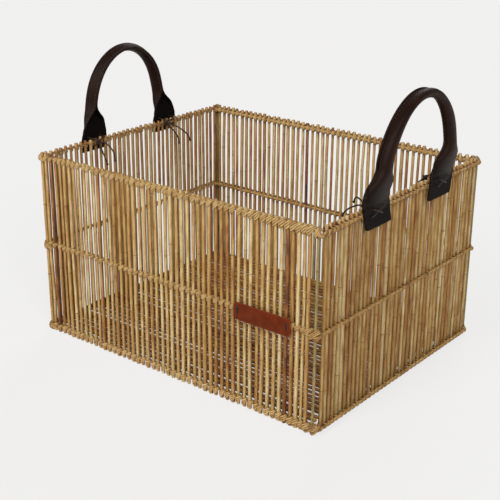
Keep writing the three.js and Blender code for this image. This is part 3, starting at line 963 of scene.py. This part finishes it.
def winding(wall, level, sizes):
    """The middle line of a lashing, its outward side and its strands' width, in the wall's own directions.

    A turn crosses a stick on the side away from the rod, passes over the rod in the next gap, round it and
    under it, and starts over the next stick."""
    heights, strays, _, radius, inset, _ = stick_lines(wall, bpy.context.scene.crate_sticks)
    height = LEVELS[level]
    rng = np.random.default_rng(wall.seed * 100 + int(height * 1000))
    sticks = [np.interp(height, h, s) for h, s in zip(heights, strays)]
    ends = [-wall.span / 2, *sticks, wall.span / 2]
    side, rod = wall.rod_side, rod_half(wall)
    across, rise = turn_sizes(wall, level, sizes)
    sines, cosines = np.sin(CROSSING), np.cos(CROSSING)
    stations, widths = [], []
    for i, (before, x, after) in enumerate(zip(ends, ends[1:], ends[2:])):
        grown_by = growth(wall, level, x) * rng.uniform(*TURN_SPREAD)
        depth = across * grown_by * sizes.flatness
        lift, over_rod = rise * grown_by, rod + depth * ROD_GRIP_SHARE
        round_stick = radius[i] + depth / 2
        wide = round_stick * max(0.45 + 0.55 * grown_by, 0.95)
        tilt = sizes.slant * rng.uniform(*SLANT_SPREAD)
        into_gap, out_of_gap = ((wide * sines[-1] + gap / 2) / 2 for gap in (x - before, after - x))
        climb = (lift + over_rod) / 2
        turn = np.vstack([
            [x - into_gap, ROD_OFFSET * GAP_DEPTH_SHARE, -climb, -GAP_LEAN, 0, -GAP_LEAN],
            columns(x + wide * sines, side * inset[i] - round_stick * cosines, lift * sines / sines[-1],
                    sines * CROSSING_LEAN, -cosines, 0),
            [x + out_of_gap, ROD_OFFSET * GAP_DEPTH_SHARE, climb, GAP_LEAN, 0, GAP_LEAN],
            round_rod((after + x) / 2, over_rod, tilt)])
        if i == 0:
            turn = np.vstack([round_rod((before + x) / 2, over_rod, tilt), turn])
        stations.append(turn * [1, side, 1, 1, side, 1])
        widened = np.interp(turn[:, 0], [x - wide, x, x + wide], CROSSING_WIDTH_SHARES)
        widths.append(across * grown_by * widened)
    stations = np.vstack(stations)
    return stations[:, :3] + [0, 0, height], stations[:, 3:], np.concatenate(widths)


def corner_strip(points, end, corner_x, height, across, tall):
    """A short strip that crosses over a corner post, with its outward side and its strands' width."""
    places = np.array(points) * MM * [1, 1, tall]
    x, y, z = places.T
    outward = unit(columns(np.where(np.abs(x) < POST_REACH, x, 0), y, np.where(y > ON_FACE, z / 2, 0)))
    stations = np.hstack([places, outward]) + [corner_x, 0, 0, 0, 0, 0]
    fine = through(stations * [end, 1, 1, end, 1, 1] + [0, 0, height, 0, 0, 0], 3)
    return fine[:, :3], unit(fine[:, 3:]), np.full(len(fine), across)


def strand_tones(count, rng, shift):
    """Warmth along a strand, which changes from one run of stations to the next, and its seed."""
    mean = rng.normal(STRAND_WARMTH, STRANDS_DIFFER) + shift
    runs = rng.normal(mean, RUNS_DIFFER, count // TONE_RUN + 2).clip(0, 1)
    warmth = np.interp(np.arange(count) / TONE_RUN, np.arange(len(runs)), runs)
    return columns(warmth, 0, rng.uniform())


def strands(wall, line, normals, widths, sizes, rng, shift):
    """Three strands side by side along one line of a wall, the middle one standing out a little."""
    centres, outward = on_wall(wall, line), turned(wall, normals)
    _, sideways, out = frames(centres, outward)
    half = widths / 2
    pieces = []
    for place in (-1, 0, 1):
        beside = sideways * (place * widths * sizes.spread)[:, None]
        proud = out * sizes.lift * (1 - abs(place))
        pieces.append(oval_bar(STRAND_SIDES, centres + beside + proud, outward, half, half * sizes.flatness,
                               strand_tones(len(line), rng, shift)))
    return pieces


class CRATE_OT_lashings(CrateOperator, Operator):
    """Strands that bind the sticks to the rods, with crossed strips at the corners"""
    bl_idname = "crate.lashings"
    bl_label = "Lashings"

    def execute(self, context):
        for wall in WALLS:
            for level in LEVELS:
                self.course(context, wall, level)
        return {"FINISHED"}

    @staticmethod
    def course(context, wall, level):
        """One wall's lashing at one level."""
        sizes, shades = context.scene.crate_strands, context.scene.crate_colours
        rng = np.random.default_rng(wall.seed * 1000 + len(level))
        long_wall = wall.rod_side > 0
        shift = LONG_RIM_SHIFT if long_wall and level == "rim" else COMMON_SHIFT
        pieces = strands(wall, *winding(wall, level, sizes), sizes, rng, shift)
        for end in (-1, 1) if long_wall else ():
            size = 1 if end == wall.near else sizes.far_corner
            for points in CORNER_STRIPS[level]:
                across = sizes.corner_across * size
                strip = corner_strip(points, end, wall.span / 2, LEVELS[level], across, size)
                pieces += strands(wall, *strip, sizes, rng, shift)
        made = joined(f"{wall.name}_{level}_strands", pieces, crisp=70)
        dress(made, strand_cane(shades), [f"{wall.name}_{level}_lashing"])


# Handles

STRAP_SIDES = 40
TAB_RINGS = 6
LEG_RINGS = 9
ARCH_RINGS = 49

# Shares of a tab corner's rounding at which its rings lie
CORNER_SHARES = np.array([0, 0.12, 0.45])

# Places of rings by the crease, and the small dent that the crease makes
TAB_TOP = -0.003
CREASE_HALF = 0.0012
LEG_BOTTOM = 0.0035
DENT = 0.0007
DENT_RUN = 0.0016

# How the curl and the crest set in, and how far the roll closes
CURL_POWER = 0.85
CREST_POWER = 2.6
CLOSED_SHARE = 0.97
LEAST_BEND = 0.02
SEAM_CURL = 0.8
FLANGE_KEPT = 0.4
EDGE_SHARE = 0.98

# Where the stitches begin over the crease, and one stitch's rings: places along it and depth in the leather
STITCH_START = 0.006
STITCH_SIDES = 6
STITCH_SHARES = np.array([-0.5, -0.38, 0, 0.38, 0.5])
STITCH_DEPTH_SHARES = np.array([[0.9], [0.2], [0], [0.2], [0.9]])


def eased(value):
    """The value held between 0 and 1, with a gentle start and end."""
    held = np.clip(value, 0, 1)
    return held * held * (3 - 2 * held)


class Strap:
    """The line of one handle's strap and its outline, flat at the tabs and rolled shut along the arch."""

    # Heights over the crease, and how flat the strap still is there
    NARROWED = {
        "right": ([0.004, 0.016, 0.023, 0.028, 0.033, 0.037], [1, 0.93, 0.84, 0.6, 0.22, 0]),
        "left": ([-0.026, -0.011, 0.008, 0.021, 0.03, 0.037], [0.94, 0.82, 0.62, 0.42, 0.16, 0]),
    }

    # Millimetres over the crease, and how far the front and the back leg lean along the wall there
    RISES = [-30, -13, 3, 14, 26, 37, 50, 112]
    LEANING = {
        "right": ([-6, -12, -14, -13.4, -10, -9, -9.5, 2], [-3.6, -1, 2, 3, 4.5, 4, 3, 4]),
        "left": ([0, 1, 2, 4, 4.5, 4, 4.5, 5], [8, 8, 8.4, 7.5, 4.5, 1.5, 1, 5]),
    }

    def __init__(self, side, sizes):
        right = side == "right"
        self.sizes = sizes
        self.side = side
        self.out = 1 if right else -1
        self.leg = sizes.right_leg if right else sizes.left_leg
        front, back = (f"handle_tab_{side}_{end}" for end in ("front", "back"))
        near, far = middle(front), middle(back)
        grip_low, grip_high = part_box(f"handle_grip_{side}")
        self.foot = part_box(front)[0].z + (sizes.right_foot if right else sizes.left_foot)
        self.crease = grip_low.z + sizes.thickness / 2
        self.spring = self.crease + sizes.spring
        self.crown = grip_high.z - sizes.crest / 2 - self.spring
        self.crest_rise = sizes.crest_rise if right else 0
        self.turn = sizes.right_turn if right else 0
        self.centre_y, self.half_span = (near.y + far.y) / 2, (far.y - near.y) / 2
        self.plane = near.x
        self.centres, self.widths = self.line()
        rise = self.centres[:, 2] - self.crease
        curling = (rise + sizes.curl_drop) / (sizes.roll_rise + sizes.curl_drop)
        cresting = (rise - sizes.roll_rise) / (sizes.spring + self.crown - sizes.roll_rise)
        self.curl = np.clip(curling, 0, 1) ** CURL_POWER
        self.crest = eased(cresting) ** CREST_POWER
        self.outward = np.tile([float(self.out), 0.0, 0.0], (len(self.centres), 1))
        _, self.across, self.normal = frames(self.centres, self.outward)

    def line(self):
        """Rings from tab to tab over the arch, and how far each narrows at a tab's corners."""
        corner = self.sizes.corner
        heights = np.concatenate([
            self.foot + corner * np.append(CORNER_SHARES, 1),
            np.linspace(self.foot + 3 * corner, self.crease + TAB_TOP, TAB_RINGS),
            self.crease + CREASE_HALF * np.array([-1, 0, 1]),
            np.linspace(self.crease + LEG_BOTTOM, self.spring, LEG_RINGS)])
        narrowing = np.zeros(len(heights))
        narrowing[:3] = corner * (1 - np.sqrt(1 - (1 - CORNER_SHARES) ** 2))
        leg = columns(-self.half_span, heights)
        angle = np.linspace(math.pi, 0, ARCH_RINGS)[1:-1]
        arch = columns(self.half_span * np.cos(angle), self.spring + self.crown * np.sin(angle))
        along, up = np.vstack([leg, arch, leg[::-1] * [-1, 1]]).T
        rise = self.crest_rise * eased((up - self.spring) / self.crown)
        centres = columns(self.plane, self.centre_y + along, up + rise)
        return centres, np.concatenate([narrowing, np.zeros(len(angle)), narrowing[::-1]])

    def leaning(self, points):
        """How far along the wall the strap's points lean, from their height and leg."""
        rise = (points[:, 2] - self.crease) / MM
        near, far = (self.softened(rise, values) for values in self.LEANING[self.side])
        share = eased((points[:, 1] - self.centre_y) / (2 * self.half_span) + 0.5)
        return MM * (near * (1 - share) + far * share)

    def softened(self, rise, values):
        """Values between the listed ones, with the corners between them rounded."""
        return sum(np.interp(rise + shift, self.RISES, values) for shift in (-5, -3, -1, 1, 3, 5)) / 6

    def bulge(self, height, across):
        """How far the strap's face stands out at a height and a place off a leg's middle."""
        leg = len(self.centres) // 2
        curl = np.interp(height, self.centres[:leg, 2], self.curl[:leg])
        share = np.minimum(2 * np.abs(across) / self.sizes.width, 1)
        return self.sizes.depth * curl * (1 - share**2)

    def lean(self, piece):
        """Moves the points of a finished piece along the wall, as the worn strap leans."""
        points = points_of(piece.data)
        points[:, 1] += self.leaning(points)
        piece.data.vertices.foreach_set("co", points.ravel())
        piece.data.update()

    def mid_curve(self, ring, share):
        """Across and outward place of the strap's middle layer, share being -1 and 1 at its edges."""
        sizes, curl, crest = self.sizes, self.curl[ring], self.crest[ring]
        bend = np.maximum(curl * CLOSED_SHARE * math.pi, LEAST_BEND)
        rise = self.centres[ring, 2] - self.crease
        flatness = np.interp(rise, *self.NARROWED[self.side])
        rolled = self.leg + (sizes.crest - self.leg) * crest - sizes.thickness * (1 - flatness)
        half = (rolled + (sizes.width - rolled) * flatness) / 2 - self.widths[ring]
        seam = np.maximum(1 - curl / SEAM_CURL, 0) * sizes.seam * half
        inner = np.minimum(np.abs(share) / (1 - sizes.seam), 1)
        beyond = np.maximum(np.abs(share) / (1 - sizes.seam) - 1, 0) * (1 - sizes.seam) / sizes.seam
        front = (1 + np.cos(inner * bend)) / 2
        pear = 1 - sizes.pear * curl**3 * (1 - front**0.8)
        rolled_wide = (half - seam) * pear * np.sin(inner * bend) / np.sin(np.minimum(bend, math.pi / 2))
        fold = (1 - np.cos(inner * bend)) / (1 - np.cos(bend))
        depth = (sizes.depth - sizes.thickness) * curl
        dent = DENT * np.exp(-(rise / DENT_RUN) ** 2)
        stands = sizes.flange * curl**2 * beyond
        wide = np.sign(share) * (rolled_wide + beyond * seam) + stands * self.turn
        return wide, depth * (1 - fold) - stands * (1 - FLANGE_KEPT * self.turn) - dent

    def surface(self, ring, share, layer):
        """A place on the strap's grain side where layer is 1, or on its flesh side where it is -1."""
        step = 1e-3
        wide, deep = self.mid_curve(ring, share)
        ahead, behind = self.mid_curve(ring, share + step), self.mid_curve(ring, share - step)
        tangent = unit(columns(ahead[0] - behind[0], ahead[1] - behind[1]))
        off = layer * self.sizes.thickness / 2
        return wide - off * tangent[..., 1], deep + off * tangent[..., 0], tangent

    def outline(self, ring, side):
        """The strap's outline: its grain side from edge to edge, and its flesh side back."""
        half = STRAP_SIDES // 2
        quarter = math.pi / 2 * EDGE_SHARE
        shares = np.sin(np.linspace(1, -1, half) * quarter) / math.sin(quarter)
        layer = np.where(side < half, 1.0, -1.0)
        wide, deep, _ = self.surface(ring, layer * shares[side % half], layer)
        return wide, deep

    def tone(self, ring, side):
        """Which points are on the flesh side, how flat the strap is there, and which are at an edge."""
        half = STRAP_SIDES // 2
        return columns(side >= half, 1 - self.curl[ring], np.isin(side % half, (0, half - 1)))


class CRATE_OT_handles(CrateOperator, Operator):
    """Leather handles, each one strap that is flat at its tabs and rolled along its grip"""
    bl_idname = "crate.handles"
    bl_label = "Handles"

    def execute(self, context):
        sizes, shades = context.scene.crate_leather, context.scene.crate_colours
        for side in ("right", "left"):
            strap = Strap(side, sizes)
            bar = laid(STRAP_SIDES, strap.centres, strap.outward, strap.outline, strap.tone)
            apply_modifier(bar, "Smooth", "SUBSURF", levels=1, render_levels=1)
            piece = joined(f"{side}_handle_strap", [bar], crisp=60)
            strap.lean(piece)
            nodes = [f"handle_grip_{side}", f"handle_tab_{side}_front", f"handle_tab_{side}_back"]
            dress(piece, handle_leather(shades), nodes, body=None)
            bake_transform(piece)
            self.stitches(strap, sizes, shades)
        return {"FINISHED"}

    @staticmethod
    def stitches(strap, sizes, shades):
        """Two rows of stitches, one along each edge of the strap."""
        rings = np.arange(len(strap.centres))
        share = 1 - sizes.stitch_inset / (sizes.width / 2)
        sewn = strap.centres[:, 2] > strap.crease + STITCH_START
        along = sizes.stitch * STITCH_SHARES
        sunk = sizes.thread * STITCH_DEPTH_SHARES
        half = sizes.thread / 2
        pieces = []
        for row in (-share, share):
            wide, deep, tangent = strap.surface(rings, np.full(len(rings), row), 1.0)
            line = strap.centres + strap.across * wide[:, None] + strap.normal * deep[:, None]
            up = strap.normal * tangent[:, :1] - strap.across * tangent[:, 1:]
            run = distances(line[sewn])
            for place in np.arange(sizes.stitch_step, run[-1] - sizes.stitch_step / 2, sizes.stitch_step):
                centre = values_at(place + along, run, line[sewn])
                over = unit(values_at(place + along, run, up[sewn]))
                pieces.append(oval_bar(STITCH_SIDES, centre - over * sunk, over, half, half, (0, 0, 0)))
        made = joined(f"{strap.side}_handle_stitches", pieces, crisp=70)
        strap.lean(made)
        dress(made, spun_thread("handle thread", shades.lace), body=f"handle_{strap.side}")


# Laces

LACE_SIDES = 8
TAIL_SIDES = 10
TINY = 1e-6

# Thickness of the cord in the two kinds of knot, and a knot's depth as a share of a flat one's
KNOT_THREAD = 0.0026
TAIL_KNOT_THREAD = 0.0016
KNOT_DEPTH_SHARE = 1.6
KNOT_RINGS = 37

# How far the cross's middle lies behind its solid's outside, and its second bar's step over the first one
CROSS_SUNK = 0.0004
CROSS_STEP_SHARE = 0.9

LACE_PLACES = [("right", "front"), ("right", "back"), ("left", "front"), ("left", "back")]

# Middle lines of the tails in millimetres from their knot: along, into and up the wall
TAIL_ROUTES = {
    "right_front": [
        [[1.8, 3.1, 0.5], [6, 10, 2], [11, 18, 2], [16, 24, -2], [20, 28, -8]],
        [[-0.8, 3.3, -1.4], [-2, 10, -3], [-2, 19, -8], [-1, 26, -14], [0, 30, -20]],
    ],
    "right_back": [
        [[-1.2, 2.5, -2.4], [-5, 7, -8], [-7, 9, -17], [-8, 10, -26], [-8, 10, -33]],
        [[1.6, 2.2, -2.4], [4, 6, -9], [6, 8, -17], [6, 8.5, -26], [5, 8, -34]],
    ],
    "left_front": [
        [[-1.4, 3.2, -0.8], [-4, 10, -2], [-6, 17, -7], [-7, 22, -14], [-6, 25, -24]],
        [[1.4, 2.8, -1.8], [4, 9, -7], [5, 14, -14], [5, 18, -21], [4, 20, -28]],
    ],
    "left_back": [
        [[-2, 2.8, -1], [-8, 11, -4], [-14, 19, -10], [-18, 26, -17], [-20, 30, -25]],
        [[-0.6, 2.9, -2], [-3, 8, -7], [-6, 13, -14], [-8, 17, -22], [-8, 18, -29]],
    ],
}


def short_wall(side):
    """The short wall on a side."""
    return WALLS[1] if side == "right" else WALLS[3]


def knot_place(side, end, sizes):
    """A lace knot's centre on its wall: along, into and up."""
    along = middle(f"handle_tab_{side}_{end}").y - sizes.knot_shift
    return np.array([along if side == "right" else -along, sizes.knot_inside, RIM + sizes.knot_rise])


def knot(centre, radius, thickness, facing):
    """A small overhand knot, drawn tight."""
    turn = np.linspace(0, 2 * math.pi, KNOT_RINGS)
    trefoil = columns(
        np.sin(turn) + 2 * np.sin(2 * turn), np.cos(turn) - 2 * np.cos(2 * turn), -np.sin(3 * turn))
    line = trefoil * (radius - thickness / 2) / 3 * [1, 1, KNOT_DEPTH_SHARE]
    turned_line = line @ np.array(facing.to_track_quat("Z", "Y").to_matrix()).T
    half = thickness / 2
    return oval_bar(LACE_SIDES, centre + turned_line, unit(turned_line + TINY), half, half, (0, 0, 0.5))


def half_lace(face, middle_face):
    """Places and outward sides of a lace from its knot to the middle of the cross, outside the tab.

    Along and up they are shares of the cross's half sizes. face is where the tab's outside lies."""
    return np.array([
        [0.3, -0.0085, -0.35, 0, -1, 0],
        [0.8, -0.005, -0.85, 0.3, -0.7, -0.7],
        [1, -0.001, -1, 0.2, 0, -1],
        [1, face - 0.003, -1, 0.3, 0.1, -1],
        [0.93, face - 0.0006, -0.93, 0.3, 0.9, -0.4],
        [0, middle_face, 0, 0, 1, 0]])


class CRATE_OT_lace_tails(CrateOperator, Operator):
    """Loose tails of the laces, each with a knot at its end"""
    bl_idname = "crate.lace_tails"
    bl_label = "Lace Tails"

    def execute(self, context):
        sizes = context.scene.crate_laces
        finish = lace_leather(context.scene.crate_colours)
        half = sizes.tail_across / 2
        for side, end in LACE_PLACES:
            centre = knot_place(side, end, sizes)
            for route, letter in zip(TAIL_ROUTES[f"{side}_{end}"], "ab"):
                line = on_wall(short_wall(side), through(centre + np.array(route) * MM, 5))
                along, _, _ = frames(line, np.broadcast_to(UP, line.shape))
                outward = np.cross(along, np.roll(along, 1, axis=1))
                name = f"{side}_{end}_tail_{letter}"
                tail = joined(name, [oval_bar(TAIL_SIDES, line, outward, half, half, (0, 0, 0))])
                dress(tail, finish, [f"lace_tail_{side}_{end}_{letter}"])
                down = Vector(line[-1] - line[-3]).normalized()
                bead = joined(f"{name}_knot", [knot(line[-1], sizes.tail_knot, TAIL_KNOT_THREAD, down)])
                dress(bead, finish)
        return {"FINISHED"}


class CRATE_OT_laces(CrateOperator, Operator):
    """Laces that cross outside each tab and are knotted on the inside"""
    bl_idname = "crate.laces"
    bl_label = "Laces"

    def execute(self, context):
        sizes = context.scene.crate_laces
        finish = lace_leather(context.scene.crate_colours)
        for side, end in LACE_PLACES:
            wall = short_wall(side)
            right = side == "right"
            node = f"lace_{side}_{end}"
            low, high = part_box(node)
            centre = knot_place(side, end, sizes)
            strap = Strap(side, context.scene.crate_leather)
            tab = middle(f"handle_tab_{side}_{end}").y
            tab += strap.leaning(np.array([[0, tab, RIM + sizes.cross_lift]]))[0] - sizes.cross_shift
            face = abs(high.x if right else low.x) - CORNER.x
            pieces = []
            for order, way in enumerate((-1, 1)):
                proud = face - CROSS_SUNK + order * sizes.thickness * CROSS_STEP_SHARE
                first = half_lace(face, proud) * [way, 1, 1, way, 1, 1]
                whole = np.vstack([first, first[-2::-1] * [-1, 1, -1, -1, 1, -1]])
                line = whole[:, :3] * [sizes.cross_reach, -1, sizes.cross_rise]
                buried = strap.bulge(line[:, 2] + RIM + sizes.cross_lift, line[:, 0]) * (whole[:, 1] > 0)
                line += [tab if right else -tab, 0, RIM + sizes.cross_lift]
                line[:, 1] -= buried
                line[[0, -1]] = centre + np.array([[way, 0, -1], [-way, 0, 1]]) * MM
                fine = through(np.hstack([line, whole[:, 3:] * [1, -1, 1]]), 3)
                pieces.append(oval_bar(
                    LACE_SIDES, on_wall(wall, fine[:, :3]), turned(wall, unit(fine[:, 3:])),
                    sizes.width / 2, sizes.thickness / 2, (0, 0, 0)))
            inward = Vector((-1 if right else 1, 0, 0))
            pieces.append(knot(on_wall(wall, centre), sizes.knot, KNOT_THREAD, inward))
            dress(joined(f"{side}_{end}_lace", pieces), finish, [node])
        return {"FINISHED"}


# Label

# A shallow groove along the label's edge
GROOVE_INSET = 0.0016
GROOVE_HALF = 0.0006
GROOVE_DEPTH = 0.00025
LOOP_SIDES = 8
LOOP_RINGS = 41


class CRATE_OT_label(CrateOperator, Operator):
    """Bare leather label on the front band, held by a thread at each end"""
    bl_idname = "crate.label"
    bl_label = "Label"

    def execute(self, context):
        sizes, shades = context.scene.crate_label, context.scene.crate_colours
        low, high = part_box("label")
        clear_selection()
        bpy.ops.mesh.primitive_cube_add(size=1, location=(low + high) / 2, scale=high - low)
        label = bpy.context.object
        bpy.ops.object.transform_apply(location=True, rotation=False, scale=True)
        bpy.ops.object.mode_set(mode="EDIT")
        select_where(label, "EDGE", lambda edge: abs(edge.verts[0].co.y - edge.verts[1].co.y) > 0.001)
        bpy.ops.mesh.bevel(offset=sizes.corner, segments=5, affect="EDGES")
        select_where(label, "FACE", lambda face: face.normal.y < -0.9)
        bpy.ops.mesh.inset(thickness=GROOVE_INSET, depth=0)
        for depth in (-GROOVE_DEPTH, GROOVE_DEPTH):
            bpy.ops.mesh.inset(thickness=GROOVE_HALF, depth=depth)
        bpy.ops.object.mode_set(mode="OBJECT")
        apply_modifier(label, "Edge", "BEVEL", width=sizes.edge, segments=3, limit_method="ANGLE",
                       angle_limit=math.radians(60))
        finish = plain_leather("label leather", shades.label, shades.label_edge)
        dress(joined("front_label", [label], crisp=35), finish, ["label"])
        for side in ("left", "right"):
            self.stitch(side, sizes, shades)
        return {"FINISHED"}

    @staticmethod
    def stitch(side, sizes, shades):
        """A loop of thread through the label and round the band rod."""
        node = f"label_stitch_{side}"
        low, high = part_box(node)
        half = sizes.thread / 2
        angle = np.linspace(0, 2 * math.pi, LOOP_RINGS)
        centre = np.array((low + high) / 2) + [0, 0, sizes.stitch_rise / 2]
        wide, tall = (high.y - low.y) / 2 - half, (high.z - low.z + sizes.stitch_rise) / 2 - half
        sine, cosine = (np.sign(f) * np.abs(f) ** 0.5 for f in (np.sin(angle), np.cos(angle)))
        line = centre + columns(0, -wide * sine, tall * cosine)
        bar = oval_bar(LOOP_SIDES, line, unit(line - centre + [0, 0, TINY]), half, half, (0, 0, 0))
        thread = joined(f"label_thread_{side}", [bar])
        dress(thread, spun_thread("label thread", shades.thread), [node])


# Stage

SENSOR_WIDTH = 36
FLOOR_HEIGHT = -0.0002

# Where each light stands, seen from the basket
LIGHT_WAYS = {
    "key": (-0.08, -0.8, 0.6),
    "fill": (0.66, -0.46, 0.55),
    "back": (-0.3, 0.8, 0.5),
}


class CRATE_OT_stage(CrateOperator, Operator):
    """Pale floor, soft light and a camera at the product's own angle"""
    bl_idname = "crate.stage"
    bl_label = "Stage"

    def execute(self, context):
        sizes = context.scene.crate_stage
        self.camera(context, sizes)
        self.floor(sizes)
        self.lights(sizes)
        self.world(context, sizes)
        context.scene.view_settings.view_transform = "Standard"
        return {"FINISHED"}

    @staticmethod
    def camera(context, sizes):
        level = math.cos(sizes.elevation)
        back = Vector((
            math.sin(sizes.azimuth) * level, -math.cos(sizes.azimuth) * level, math.sin(sizes.elevation)))
        right = Vector((math.cos(sizes.azimuth), math.sin(sizes.azimuth), 0))
        up = back.cross(right)
        tilted_right = right * math.cos(sizes.roll) + up * math.sin(sizes.roll)
        tilted_up = up * math.cos(sizes.roll) - right * math.sin(sizes.roll)
        turn = Matrix((tilted_right, tilted_up, back)).transposed().to_4x4()
        data = bpy.data.cameras.new("camera")
        data.lens = sizes.lens
        data.sensor_width = SENSOR_WIDTH
        camera = bpy.data.objects.new("camera", data)
        context.collection.objects.link(camera)
        camera.matrix_world = Matrix.Translation(Vector(sizes.target) + back * sizes.distance) @ turn
        context.scene.camera = camera

    @staticmethod
    def floor(sizes):
        clear_selection()
        bpy.ops.mesh.primitive_plane_add(size=sizes.floor_span, location=(0, 0, FLOOR_HEIGHT))
        floor = bpy.context.object
        floor.name = "floor"
        bpy.ops.object.transform_apply(location=True)
        finish = Finish("backdrop", roughness=0.9)
        seen = finish.add("ShaderNodeEmission", {"Color": (*sizes.backdrop, 1), "Strength": 1.0})
        path = finish.tree.nodes.new("ShaderNodeLightPath")
        matt = finish.add("ShaderNodeBsdfDiffuse", {"Color": (*sizes.backdrop, 1)})
        x, y, _ = finish.parts(finish.add("ShaderNodeTexCoord", {}, "Object"))
        under_x, under_y = (
            finish.between(finish.math("ABSOLUTE", place), edge, edge - sizes.shade_fade)
            for place, edge in ((x, CORNER.x), (y, CORNER.y)))
        under = finish.times(under_x, under_y)
        glow = finish.math("MULTIPLY_ADD", under, sizes.glow_under - sizes.glow, sizes.glow)
        blend = finish.add("ShaderNodeMixShader", {0: glow, 1: matt, 2: seen})
        shown = finish.add("ShaderNodeMixShader", {0: path.outputs["Is Camera Ray"], 1: matt, 2: blend})
        finish.feed(finish.tree.nodes["Material Output"].inputs["Surface"], shown)
        floor.data.materials.append(finish.material)

    @staticmethod
    def lights(sizes):
        strengths = (sizes.key_light, sizes.fill_light, sizes.back_light)
        for (name, towards), strength in zip(LIGHT_WAYS.items(), strengths):
            data = bpy.data.lights.new(name, "SUN")
            data.energy = strength
            data.angle = sizes.softness
            light = bpy.data.objects.new(name, data)
            bpy.context.collection.objects.link(light)
            light.rotation_mode = "QUATERNION"
            light.rotation_quaternion = Vector(towards).to_track_quat("Z", "Y")

    @staticmethod
    def world(context, sizes):
        world = bpy.data.worlds.new("studio")
        world.use_nodes = True
        context.scene.world = world
        nodes, links = world.node_tree.nodes, world.node_tree.links
        light = nodes["Background"]
        light.inputs["Color"].default_value = (*sizes.world_tint, 1)
        light.inputs["Strength"].default_value = sizes.world_light
        seen = nodes.new("ShaderNodeBackground")
        seen.inputs["Color"].default_value = (*sizes.backdrop, 1)
        path = nodes.new("ShaderNodeLightPath")
        mix = nodes.new("ShaderNodeMixShader")
        links.new(path.outputs["Is Camera Ray"], mix.inputs[0])
        links.new(light.outputs[0], mix.inputs[1])
        links.new(seen.outputs[0], mix.inputs[2])
        links.new(mix.outputs[0], nodes["World Output"].inputs["Surface"])


# Sidebar and registration

STEPS = (
    CRATE_OT_stage, CRATE_OT_lace_tails, CRATE_OT_wall_sticks, CRATE_OT_rods, CRATE_OT_posts, CRATE_OT_base,
    CRATE_OT_lashings, CRATE_OT_handles, CRATE_OT_laces, CRATE_OT_label,
)
GROUPS = {
    "crate_sticks": StickSizes,
    "crate_strands": StrandSizes,
    "crate_leather": LeatherSizes,
    "crate_laces": LaceSizes,
    "crate_label": LabelSizes,
    "crate_colours": CrateColours,
    "crate_stage": StageSizes,
}


class CRATE_PT_pieces(Panel):
    """The crate's pieces, each with its own button"""
    bl_idname = "CRATE_PT_pieces"
    bl_label = "Wicker Crate Basket"
    bl_space_type = "VIEW_3D"
    bl_region_type = "UI"
    bl_category = "Crate"

    def draw(self, context):
        for step in STEPS:
            self.layout.operator(step.bl_idname)


def register():
    for group in GROUPS.values():
        bpy.utils.register_class(group)
    for step in (*STEPS, CRATE_PT_pieces):
        bpy.utils.register_class(step)
    for name, group in GROUPS.items():
        setattr(bpy.types.Scene, name, PointerProperty(type=group))


def unregister():
    for name in GROUPS:
        delattr(bpy.types.Scene, name)
    for step in reversed((*STEPS, CRATE_PT_pieces)):
        bpy.utils.unregister_class(step)
    for group in reversed(GROUPS.values()):
        bpy.utils.unregister_class(group)


def main():
    register()
    bpy.ops.crate.stage()
    bpy.ops.crate.lace_tails()
    bpy.ops.crate.wall_sticks()
    bpy.ops.crate.rods()
    bpy.ops.crate.posts()
    bpy.ops.crate.base()
    bpy.ops.crate.lashings()
    bpy.ops.crate.handles()
    bpy.ops.crate.laces()
    bpy.ops.crate.label()


if __name__ == "__main__":
    main()
